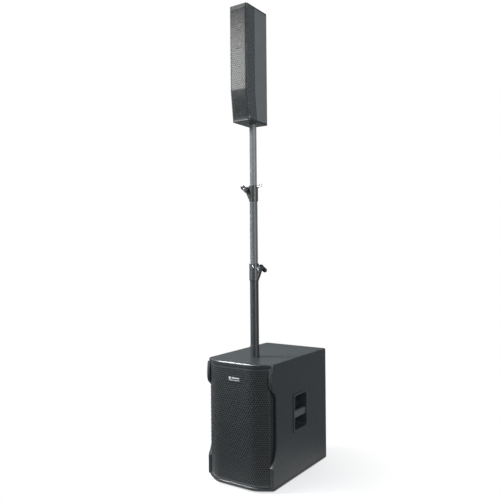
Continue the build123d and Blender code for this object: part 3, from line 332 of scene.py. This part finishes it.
def facing(spot, direction, turn=0.0):
    """Stands a mesh at spot with its own Z along direction, turned about it."""
    aim = Vector(direction).to_track_quat("Z", "Y").to_matrix().to_4x4()
    return Matrix.Translation(spot) @ aim @ Matrix.Rotation(turn, 4, "Z")


def banded(mesh, rows):
    """Skin each pair of neighbouring closed rings of vertices."""
    for lower, upper in zip(rows, rows[1:]):
        for k in range(len(lower)):
            after = (k + 1) % len(lower)
            mesh.faces.new((lower[k], lower[after], upper[after], upper[k]))


def ringed(mesh, rings):
    """Skin a stack of closed rings of points, and close its two ends."""
    rows = [[mesh.verts.new(point) for point in ring] for ring in rings]
    banded(mesh, rows)
    mesh.faces.new(list(reversed(rows[0])))
    mesh.faces.new(rows[-1])


def looped(mesh, rows):
    """Skin rings of vertices all the way round, from the last back to the first."""
    banded(mesh, rows + rows[:1])


def circle(radius, height, segments=40):
    """Points evenly round a circle about Z."""
    turns = [2 * pi * k / segments for k in range(segments)]
    return [Vector((radius * cos(turn), radius * sin(turn), height)) for turn in turns]


def turned(profile, segments=40):
    """A solid turned about Z through (radius, height) points, from its foot to its head."""
    mesh = bmesh.new()
    ringed(mesh, [circle(radius, height, segments) for radius, height in profile])
    return mesh


def washer(outer, inner, thickness, edge):
    """A flat ring with eased outer edges, standing on z = 0."""
    mesh = bmesh.new()
    profile = [
        (inner, 0.0),
        (outer - edge, 0.0),
        (outer, edge),
        (outer, thickness - edge),
        (outer - edge, thickness),
        (inner, thickness),
    ]
    looped(mesh, [[mesh.verts.new(point) for point in circle(*spot)] for spot in profile])
    return mesh


def block(size, edge, centre=(0, 0, 0)):
    """A box with eased edges."""
    mesh = bmesh.new()
    bmesh.ops.create_cube(mesh, size=1.0)
    bmesh.ops.scale(mesh, vec=size, verts=mesh.verts)
    bmesh.ops.bevel(mesh, geom=mesh.edges[:], offset=edge, segments=2, profile=0.5, affect="EDGES")
    bmesh.ops.translate(mesh, vec=centre, verts=mesh.verts)
    return mesh


def as_data(mesh):
    """The bmesh as mesh data, with the bmesh freed."""
    data = bpy.data.meshes.new("part")
    mesh.to_mesh(data)
    mesh.free()
    return data


def stamped(source, places):
    """Copies of a mesh at several places, in one bmesh."""
    mesh = bmesh.new()
    for place in places:
        start = len(mesh.verts)
        mesh.from_mesh(source)
        mesh.verts.ensure_lookup_table()
        bmesh.ops.transform(mesh, matrix=place, verts=mesh.verts[start:])
    return mesh


def carved(solid, tool):
    """The solid with the tool's shape cut out of it."""
    holders = [bpy.data.objects.new("carving", as_data(mesh)) for mesh in (solid, tool)]
    for holder in holders:
        SCENE.collection.objects.link(holder)
    cut = holders[0].modifiers.new("cut", "BOOLEAN")
    cut.object = holders[1]
    cut.operation = "DIFFERENCE"
    cut.solver = "EXACT"
    cut.use_self = True
    bpy.context.view_layer.update()
    result = bpy.data.meshes.new_from_object(holders[0].evaluated_get(bpy.context.evaluated_depsgraph_get()))
    for holder in holders:
        bpy.data.objects.remove(holder)
    return result


def screw(radius):
    """A pan-headed screw with a cross slot, its seat at z = 0."""
    rise = 0.38 * radius
    rim = 0.35 * rise
    shank = 0.45 * radius
    crown = [(radius * cos(a), rim + (rise - rim) * sin(a)) for a in (radians(15 * k) for k in range(6))]
    head = turned([(shank, -rise), (shank, 0.0), (radius, 0.0), *crown], 28)
    arm = as_data(block((1.25 * radius, 0.26 * radius, rise), 0.03 * radius, (0, 0, rise)))
    cross = stamped(arm, [Matrix.Rotation(turn, 4, "Z") for turn in (0.0, pi / 2)])
    return carved(head, cross)


# ==== perforated grilles ====

HOLE_PITCH = 11.5 * MM
HOLE_R = 4.6 * MM  # to the hole's corners
ARC_STEPS = 12
KEY_PARTS = 60  # parts of a step or a row within which two corners count as one


class BentPath:
    """A flat path whose corners are turned on arcs, measured along its length."""

    def __init__(self, corners, radii):
        self.points = [Vector(corners[0])]
        for before, corner, after, radius in zip(corners, corners[1:], corners[2:], radii):
            self.turn(Vector(before), Vector(corner), Vector(after), radius)
        self.points.append(Vector(corners[-1]))
        self.marks = [0.0]
        for start, end in zip(self.points, self.points[1:]):
            self.marks.append(self.marks[-1] + (end - start).length)
        self.length = self.marks[-1]

    def turn(self, before, corner, after, radius):
        """Add the arc that rounds a corner."""
        into = (corner - before).normalized()
        out = (after - corner).normalized()
        angle = into.angle_signed(out)
        reach = radius * tan(abs(angle) / 2)
        side = Vector((into.y, -into.x)) if angle > 0 else Vector((-into.y, into.x))
        centre = corner - into * reach + side * radius
        arm = -side * radius
        for step in range(ARC_STEPS + 1):
            self.points.append(centre + Matrix.Rotation(-angle * step / ARC_STEPS, 2) @ arm)

    def at(self, distance):
        """The point at a distance along the path, and the direction to its right."""
        index = min(max(bisect_right(self.marks, distance) - 1, 0), len(self.points) - 2)
        start, end = self.points[index], self.points[index + 1]
        run = end - start
        spot = start + run * ((distance - self.marks[index]) / run.length)
        return spot, Vector((run.y, -run.x)).normalized()


def perforated(path, foot, head, sheet, rims, lean=None):
    """A sheet bent along a path, with staggered six-sided holes inside plain rims.

    The sheet lies left of the path, so the path is its outer face when it runs with the
    outside on its right. rims are the plain margins at the ends and at the foot and head,
    and lean gives how far back the sheet stands at a height.
    """
    half_steps = 2 * round(path.length / HOLE_PITCH)
    rows = round((head - foot) / (HOLE_PITCH * sqrt(3) / 2))
    step = path.length / half_steps
    rise = (head - foot) / rows
    mesh = bmesh.new()
    made = {}

    def vertex(along, up, inside):
        """The one vertex at a place on the outer or inner face."""
        key = (round(along / step * KEY_PARTS), round(up / rise * KEY_PARTS), inside)
        if key not in made:
            spot, outward = path.at(along)
            spot = spot - outward * (sheet if inside else 0.0)
            shift = lean(foot + up) if lean else 0.0
            made[key] = mesh.verts.new((spot.x, spot.y + shift, foot + up))
        return made[key]

    def face(corners):
        """A face through places on the sheet."""
        mesh.faces.new([vertex(*corner) for corner in corners])

    def wall(start, end):
        """A face through the sheet's thickness."""
        face([(*start, False), (*end, False), (*end, True), (*start, True)])

    def plain(column, row):
        """A step of the sheet without a hole."""
        left, right = column * step, (column + 1) * step
        bottom, top = row * rise, (row + 1) * rise
        rim = [(left, bottom), (right, bottom), (right, top), (left, top)]
        for inside in (False, True):
            face([(*corner, inside) for corner in rim])

    def holed(column, row):
        """Two steps of the sheet round one hole."""
        across, up = (column + 1) * step, (row + 0.5) * rise
        surround = [(0, -1), (1, -1), (1, 1), (0, 1), (-1, 1), (-1, -1)]
        outer = [(across + x * step, up + y * rise / 2) for x, y in surround]
        inner = [(across + HOLE_R * sin(k * pi / 3), up - HOLE_R * cos(k * pi / 3)) for k in range(6)]
        for k in range(6):
            after = (k + 1) % 6
            for inside in (False, True):
                face([(*spot, inside) for spot in (outer[k], outer[after], inner[after], inner[k])])
            wall(inner[k], inner[after])

    for row in range(rows):
        column = 0
        stagger = row % 2
        plain_row = row * rise < rims[1] or (rows - row - 1) * rise < rims[1]
        while column < half_steps:
            near_end = column * step < rims[0] or (half_steps - column - 2) * step < rims[0]
            if plain_row or near_end or column % 2 != stagger:
                plain(column, row)
                column += 1
            else:
                holed(column, row)
                column += 2
    for row in range(rows):
        for along in (0.0, half_steps * step):
            wall((along, row * rise), (along, (row + 1) * rise))
    for column in range(half_steps):
        for up in (0.0, rows * rise):
            wall((column * step, up), ((column + 1) * step, up))
    return mesh


RAKED_CORNER_X = 112 * MM  # where the bass grille's flat middle ends
RAKED_CORNER_R = 108 * MM
SIDE_CORNER_R = 4.5 * MM
GRILLE_INSET = 2 * MM
FACET_SLOPE = 50 / 79  # fall of the outer facets against their width
FRONT_SHEET = 1.6 * MM
FRONT_RIMS = (5 * MM, 7 * MM)


def make_front_grille():
    """The bass cabinet's bowed steel grille."""
    start, end = low("front_grille"), high("front_grille")
    bend_x = RAKED_CORNER_X - GRILLE_INSET * (sqrt(1 + FACET_SLOPE**2) - 1) / FACET_SLOPE
    corner_y = start.y + (end.x - bend_x) * FACET_SLOPE
    corners = [
        (start.x, end.y),
        (start.x, corner_y),
        (-bend_x, start.y),
        (bend_x, start.y),
        (end.x, corner_y),
        (end.x, end.y),
    ]
    path = BentPath(corners, (SIDE_CORNER_R, RAKED_CORNER_R, RAKED_CORNER_R, SIDE_CORNER_R))
    mesh = perforated(path, start.z, end.z, FRONT_SHEET, FRONT_RIMS)
    piece("bass_grille_steel", mesh, "grille_steel", "bass_cabinet", "front_grille")


KINK_Z = 1.912  # height where the column's front turns back
COLUMN_CORNER_R = 10 * MM
COLUMN_WRAP = 70 * MM
COLUMN_SHEET = 1.5 * MM
COLUMN_RIMS = (3 * MM, 4 * MM)


def column_lean(z):
    """How far the column's front stands back at a height."""
    setback = low("column_bottom_cap").y - low("column_top_cap").y
    return max(0.0, (KINK_Z - z) / (KINK_Z - low("column_bottom_cap").z)) * setback


def make_column_grille():
    """The column's grille, wrapped round both front corners."""
    start, end = low("column_grille"), high("column_grille")
    wrap_y = start.y + COLUMN_WRAP
    corners = [(start.x, wrap_y), (start.x, start.y), (end.x, start.y), (end.x, wrap_y)]
    path = BentPath(corners, (COLUMN_CORNER_R, COLUMN_CORNER_R))
    mesh = perforated(path, start.z, end.z, COLUMN_SHEET, COLUMN_RIMS, column_lean)
    piece("column_grille_sheet", mesh, "column_grille_steel", "column", "column_grille")


# ==== screws ====

SIDE_SUNK = 0.4 * MM  # how far the screws are driven into a board
CAP_SUNK = 0.6 * MM
BACK_SUNK = 0.5 * MM
AMP_SCREW_INSET = 6 * MM
RIM_SCREW_INSET = 5.5 * MM
SIDE_SCREW_INSET = 38 * MM
REAR_SCREW_INSET = 16 * MM
CAP_SCREW_INSET = 12 * MM
BACK_SCREW_INSET = 9 * MM


def drawn_in(node, axis, inset):
    """The two ends of a node's box along an axis, drawn in by inset."""
    return (low(node)[axis] + inset, high(node)[axis] - inset)


def corners_of(node, first, second, inset):
    """The four corners of a node's box across two axes, drawn in by inset."""
    return [(a, b) for a in drawn_in(node, first, inset) for b in drawn_in(node, second, inset)]


def make_amp_screws(head):
    """Screws at the corners and mid-sides of the amplifier's plate."""
    centre = middle("amp_plate")
    plate_y = high("amp_plate").y
    marks = corners_of("amp_plate", 0, 2, AMP_SCREW_INSET)
    marks += [(centre.x, z) for z in drawn_in("amp_plate", 2, AMP_SCREW_INSET)]
    marks += [(x, centre.z) for x in drawn_in("amp_plate", 0, AMP_SCREW_INSET)]
    places = [facing((x, plate_y, z), (0, 1, 0), 7 * x + 3 * z) for x, z in marks]
    piece("amplifier_screws", stamped(head, places), "screw_steel", "bass_cabinet", "amp_screws")


def make_handle_screws(head):
    """Screws at the corners of both handle rims."""
    rim_x = high("right_handle_cup").x
    marks = corners_of("right_handle_cup", 1, 2, RIM_SCREW_INSET)
    sides = [(hand, y, z) for hand in (-1, 1) for y, z in marks]
    places = [facing((hand * rim_x, y, z), (hand, 0, 0), 11 * y + 5 * z) for hand, y, z in sides]
    piece("handle_rim_screws", stamped(head, places), "screw_steel", "bass_cabinet", "handle_screws")


def make_side_screws(head):
    """Three pairs of screws in each side panel, the first behind its shaped front edge."""
    side_x = high("right_side_panel").x - SIDE_SUNK
    front_y = -4.5 * SIDE_SCREW_INSET
    rear_y = high("right_side_panel").y - 2 * SIDE_SCREW_INSET
    heights = drawn_in("right_side_panel", 2, SIDE_SCREW_INSET)
    marks = [(y, z) for y in (front_y, 0.0, rear_y) for z in heights]
    places = [facing((hand * side_x, y, z), (hand, 0, 0), 9 * y) for hand in (-1, 1) for y, z in marks]
    piece("side_panel_screws", stamped(head, places), "screw_steel", "bass_cabinet")


def make_rear_screws(head):
    """Screws at the corners and mid-sides of the rear panel."""
    rear_y = high("rear_panel").y
    marks = corners_of("rear_panel", 0, 2, REAR_SCREW_INSET)
    marks += [(x, middle("rear_panel").z) for x in drawn_in("rear_panel", 0, REAR_SCREW_INSET)]
    marks += [(0.0, z) for z in drawn_in("rear_panel", 2, REAR_SCREW_INSET)]
    places = [facing((x, rear_y, z), (0, 1, 0), 8 * x + z) for x, z in marks]
    piece("rear_panel_screws", stamped(head, places), "screw_steel", "bass_cabinet")


def make_column_screws(head):
    """Screws in the column's foot and at the corners of its back."""
    base_z = low("column_bottom_cap").z + CAP_SUNK
    back_y = high("column_cabinet").y - BACK_SUNK
    marks = corners_of("column_bottom_cap", 0, 1, CAP_SCREW_INSET)
    places = [facing((x, y, base_z), (0, 0, -1), 20 * y) for x, y in marks]
    marks = corners_of("column_cabinet", 0, 2, BACK_SCREW_INSET)
    places += [facing((x, back_y, z), (0, 1, 0), 9 * z) for x, z in marks]
    piece("column_screws", stamped(head, places), "screw_steel", "column")


def make_screws():
    """The visible screws. Each is turned by its place, so that no two slots need to line up."""
    plate_screw = screw(4.0 * MM)
    make_amp_screws(plate_screw)
    make_handle_screws(plate_screw)
    panel_screw = screw(3.4 * MM)
    make_side_screws(panel_screw)
    make_rear_screws(panel_screw)
    make_column_screws(screw(2.6 * MM))


# ==== clamp knobs, bolts and nuts on the pole ====

EAR_X = 33 * MM
EAR_HALF = 10 * MM
BOLT_R = 3 * MM
BOLT_LENGTH = 2 * EAR_HALF + 9 * MM
BOLT_EDGE = 0.8 * MM
CAP_SINK = 0.6 * MM
SKIRT = 13 * MM
KNOB_GAP = 0.4 * MM
KNOB_TURN = radians(40)
WASHER_R = 6.5 * MM
WASHER_T = 1.4 * MM
NUT_R = 5.8 * MM
NUT_H = 5 * MM


def wing_outline(length, width, height):
    """A ring shaped like a two-winged knob, full at its tips."""
    points = []
    for k in range(64):
        a = 2 * pi * k / 64
        radius = width / 2 + (length - width) / 2 * abs(cos(a)) ** 2.6
        points.append(Vector((radius * cos(a), radius * sin(a), height)))
    return points


def wing_knob(reach):
    """A moulded wing on a round skirt, standing on z = 0 and reach high."""
    levels = (  # length, width and height of each ring
        (18 * MM, 18 * MM, 0.0),
        (20 * MM, 20 * MM, 1.2 * MM),
        (19 * MM, 19 * MM, SKIRT - 2.5 * MM),
        (19 * MM, 19 * MM, SKIRT),
        (44 * MM, 17 * MM, SKIRT + 0.8 * MM),
        (50 * MM, 19 * MM, SKIRT + 3.5 * MM),
        (52 * MM, 20 * MM, reach - 5 * MM),
        (50 * MM, 18 * MM, reach - 2 * MM),
        (44 * MM, 13 * MM, reach - 0.3 * MM),
        (30 * MM, 8 * MM, reach),
    )
    mesh = bmesh.new()
    ringed(mesh, [wing_outline(*level) for level in levels])
    return mesh


def hex_nut():
    """A six-sided nut with eased corners and a bore."""
    mesh = bmesh.new()
    bore = BOLT_R + 0.15 * MM
    eased = 0.9 * NUT_R
    levels = ((bore, 0.0), (eased, 0.0), (NUT_R, 0.1), (NUT_R, 0.9), (eased, 1.0), (bore, 1.0))
    rows = []
    for size, share in levels:
        ring = []
        for k in range(24):
            a = 2 * pi * k / 24
            flat = cos(pi / 6) / cos((a % (pi / 3)) - pi / 6)
            span = size * flat if size > bore else size
            ring.append(mesh.verts.new((span * cos(a), span * sin(a), share * NUT_H)))
        rows.append(ring)
    looped(mesh, rows)
    return mesh


def make_clamp(node, body, hand, front):
    """One clamp's knob, bolt and nut. hand is the side of the ears, front the knob's side along Y."""
    axis_spot = Vector((hand * EAR_X, POLE.y, middle(node).z))
    outward = Vector((0, front, 0))
    seat = axis_spot + outward * (EAR_HALF + KNOB_GAP)
    reach = abs((high(node) if front > 0 else low(node)).y - seat.y)

    def part(suffix, mesh, spot, direction, slot, rider, turn=0.0, replaced=()):
        """Set a mesh's own Z along direction at spot, as a piece that rides on rider."""
        placed = stamped(as_data(mesh), [facing(spot, direction, turn)])
        piece(f"{node}_{suffix}", placed, slot, rider, *replaced)

    part("wing", wing_knob(reach), seat, outward, "clamp_plastic", node, KNOB_TURN * hand, (node,))
    cap_profile = ((5.5 * MM, -1.5 * MM), (5.5 * MM, 0.6 * MM), (4.6 * MM, 1.6 * MM), (2.4 * MM, 2.2 * MM))
    cap = turned(cap_profile, 32)
    part("cap", cap, seat + outward * (reach - CAP_SINK), outward, "pin_chrome", node)
    tip = (BOLT_R - BOLT_EDGE, BOLT_LENGTH)
    bolt = turned(((BOLT_R, 0.0), (BOLT_R, BOLT_LENGTH - BOLT_EDGE), tip), 28)
    part("bolt", bolt, seat, -outward, "pin_chrome", node)

    far = axis_spot - outward * EAR_HALF
    ring = washer(WASHER_R, BOLT_R + 0.1 * MM, WASHER_T, 0.3 * MM)
    part("washer", ring, far, -outward, "pin_chrome", body)
    part("nut", hex_nut(), far - outward * WASHER_T, -outward, "pin_chrome", body, radians(12))


def make_pole_hardware():
    """The hardware of both clamps, which face opposite ways."""
    make_clamp("lower_clamp_knob", "bass_cabinet", 1, 1)
    make_clamp("upper_clamp_knob", "mid_pole", -1, -1)


# ==== amplifier panel and sockets ====

TICK_SIZE = (0.9 * MM, 0.4 * MM, 3.2 * MM)
TICK_R = 15.5 * MM
RULE_SIZE = (1.0, 0.4 * MM, 0.7 * MM)
PRINT_EDGE = 0.1 * MM
PANEL_MARGIN = 13 * MM
PIN_R = 1.3 * MM
PIN_CIRCLE_R = 4.6 * MM
SOCKET_INSET = 13 * MM
COLUMN_SOCKET_INSET = 15.5 * MM
INSERT_DEPTH = 3 * MM
POST_DEPTH = 17 * MM
TAB_SIZE = (8 * MM, 2.4 * MM, 3.6 * MM)
TAB_RISE = 12.8 * MM
TAB_PROUD = 0.6 * MM


def dial_marks(knob, face_y):
    """Printed ticks round a knob, from one end of its turn to the other."""
    centre = middle(knob)
    places = []
    for step in range(11):
        turn = radians(-150 + 30 * step)
        spot = Vector((centre.x + TICK_R * sin(turn), face_y, centre.z + TICK_R * cos(turn)))
        places.append(Matrix.Translation(spot) @ Matrix.Rotation(turn, 4, "Y"))
    return places


def make_amp_marks():
    """The printed ticks and rules of the amplifier's panel."""
    face_y = high("amp_plate").y + PRINT_EDGE
    tick = as_data(block(TICK_SIZE, PRINT_EDGE))
    places = dial_marks("bass_level_knob", face_y) + dial_marks("column_level_knob", face_y)
    piece("dial_ticks", stamped(tick, places), "badge_plate", "bass_cabinet")
    rule = as_data(block(RULE_SIZE, PRINT_EDGE))
    left, right = drawn_in("amp_plate", 0, PANEL_MARGIN)
    base, top = drawn_in("input_sockets", 2, -7 * MM)
    heights = (high("bass_level_knob").z + 12 * MM, top, base)
    stretch = Matrix.Diagonal((right - left, 1, 1, 1))
    places = [Matrix.Translation((0, face_y, z)) @ stretch for z in heights]
    piece("panel_rules", stamped(rule, places), "badge_plate", "bass_cabinet")


def socket_insert(pins):
    """A round insert with a ring of pin holes, its face at z = 0."""
    face = turned(((8.6 * MM, -6 * MM), (8.6 * MM, -0.5 * MM), (8.1 * MM, 0.0)), 40)
    hole = bmesh.new()
    bmesh.ops.create_cone(hole, cap_ends=True, segments=20, radius1=PIN_R, radius2=PIN_R, depth=8 * MM)
    turns = [2 * pi * k / pins + pi / 6 for k in range(pins)]
    places = [Matrix.Translation((PIN_CIRCLE_R * cos(turn), PIN_CIRCLE_R * sin(turn), 0)) for turn in turns]
    return carved(face, stamped(as_data(hole), places))


def fit_sockets(inner_name, tab_name, body, inner, slot, depth, spots):
    """Put an inner part depth behind each spot of a panel's face, and a release tab above it."""
    places = [facing(spot - Vector((0, depth, 0)), (0, 1, 0)) for spot in spots]
    piece(inner_name, stamped(inner, places), slot, body)
    tab = as_data(block(TAB_SIZE, 0.6 * MM))
    tabs = [Matrix.Translation(spot + Vector((0, TAB_PROUD, TAB_RISE))) for spot in spots]
    piece(tab_name, stamped(tab, tabs), "screw_steel", body)


def make_sockets():
    """Inserts in the signal sockets, posts in the speaker sockets, and their release tabs."""
    flange_y = high("input_sockets").y
    row_z = middle("input_sockets").z
    spots = [Vector((x, flange_y, row_z)) for x in drawn_in("input_sockets", 0, SOCKET_INSET)]
    insert = socket_insert(3)
    fit_sockets("input_inserts", "input_tabs", "bass_cabinet", insert, "socket_plastic", INSERT_DEPTH, spots)

    post = as_data(washer(5.2 * MM, 2.6 * MM, 15 * MM, 0.5 * MM))
    spots = [Vector((x, flange_y, row_z)) for x in drawn_in("output_sockets", 0, SOCKET_INSET)]
    fit_sockets("output_posts", "output_tabs", "bass_cabinet", post, "button_plastic", POST_DEPTH, spots)

    back_y = high("column_sockets").y
    spots = [Vector((0, back_y, z)) for z in drawn_in("column_sockets", 2, COLUMN_SOCKET_INSET)]
    fit_sockets(
        "column_socket_posts", "column_socket_tabs", "column", post, "button_plastic", POST_DEPTH, spots
    )


# ==== floor, light and camera ====

FLOOR_R = 0.65
SOLID_R = 0.22  # the floor starts to fade here
FILL = 0.36  # light from all round, against the white that the camera sees
KEY_SPOT = (-1.75, -1.1, 2.95)
KEY_AIM = (0.1, -0.2, 0.58)  # the top of the bass cabinet
AZIMUTH = radians(34.06)
EYE = 1.135
STAND_OFF = 2.896
SIDESTEP = -0.020
ROLL = radians(0.5)
LENS = 41.55


def make_floor():
    """A pale round floor that fades into the white round it."""
    mesh = bmesh.new()
    bmesh.ops.create_circle(mesh, cap_ends=True, radius=FLOOR_R, segments=96)
    data = as_data(mesh)
    finish = Finish("floor_paint", {"Roughness": 0.8, "Specular IOR Level": 0.2, "Emission Strength": 0.65})
    finish.coloured(finish.mixed(finish.noise(0.4), (0.22, 0.23, 0.24), (0.26, 0.27, 0.28)))
    reach = finish.nodes.new("ShaderNodeVectorMath")
    reach.operation = "LENGTH"
    finish.links.new(finish.spot, reach.inputs[0])
    fade = finish.between(reach.outputs["Value"], SOLID_R, FLOOR_R, 1.0, 0.0)
    finish.links.new(fade, finish.shader.inputs["Alpha"])
    data.materials.append(finish.material)
    floor = bpy.data.objects.new("floor", data)
    SCENE.collection.objects.link(floor)


def softbox(name, spot, target, width, height, power, spread=180):
    """A rectangular lamp at spot that faces target, its light kept within a fan of spread degrees."""
    lamp = bpy.data.lights.new(name, "AREA")
    lamp.shape = "RECTANGLE"
    lamp.size = width
    lamp.size_y = height
    lamp.energy = power
    lamp.spread = radians(spread)
    made = bpy.data.objects.new(name, lamp)
    made.visible_camera = False
    made.location = spot
    made.rotation_euler = (Vector(target) - Vector(spot)).to_track_quat("-Z", "Y").to_euler()
    SCENE.collection.objects.link(made)


def around(azimuth, distance, height):
    """A point seen from the pole at an azimuth, where 0 is straight ahead of the front."""
    return (POLE.x + distance * sin(azimuth), POLE.y - distance * cos(azimuth), height)


def on_pole(height):
    """A point on the pole's axis."""
    return (POLE.x, POLE.y, height)


def make_light():
    """Soft light from all round, with four softboxes for the sheens."""
    world = bpy.data.worlds.new("studio")
    world.use_nodes = True
    nodes, links = world.node_tree.nodes, world.node_tree.links
    backdrop = nodes["Background"]
    backdrop.inputs["Color"].default_value = (1.0, 1.0, 1.0, 1.0)
    fill = nodes.new("ShaderNodeBackground")
    fill.inputs["Color"].default_value = (0.90, 0.97, 1.0, 1.0)
    fill.inputs["Strength"].default_value = FILL
    seen = nodes.new("ShaderNodeLightPath")
    either = nodes.new("ShaderNodeMixShader")
    links.new(seen.outputs["Is Camera Ray"], either.inputs[0])
    links.new(fill.outputs[0], either.inputs[1])
    links.new(backdrop.outputs[0], either.inputs[2])
    links.new(either.outputs[0], nodes["World Output"].inputs["Surface"])
    SCENE.world = world
    softbox("key", KEY_SPOT, KEY_AIM, 1.1, 0.9, 26, spread=36)
    softbox("front_left", around(radians(-35), 2.5, 2.72), on_pole(1.4), 0.9, 0.8, 56)
    softbox("right_strip", around(radians(70), 2.6, 1.9), on_pole(1.5), 0.28, 3.2, 100)
    softbox("left_strip", around(radians(-36), 2.8, 0.95), on_pole(1.0), 0.25, 1.2, 10)


def make_camera():
    """The camera, level, to the front right of the object."""
    data = bpy.data.cameras.new("camera")
    data.sensor_width = 36.0
    data.lens = LENS
    made = bpy.data.objects.new("camera", data)
    aside = Vector((cos(AZIMUTH), sin(AZIMUTH), 0)) * SIDESTEP
    made.location = Vector(around(AZIMUTH, STAND_OFF, EYE)) + aside
    made.rotation_euler = (pi / 2, ROLL, AZIMUTH)
    SCENE.collection.objects.link(made)
    SCENE.camera = made


paint_cad_nodes()
make_front_grille()
make_column_grille()
make_screws()
make_pole_hardware()
make_amp_marks()
make_sockets()
make_floor()
make_light()
make_camera()
SCENE.view_settings.view_transform = "Standard"
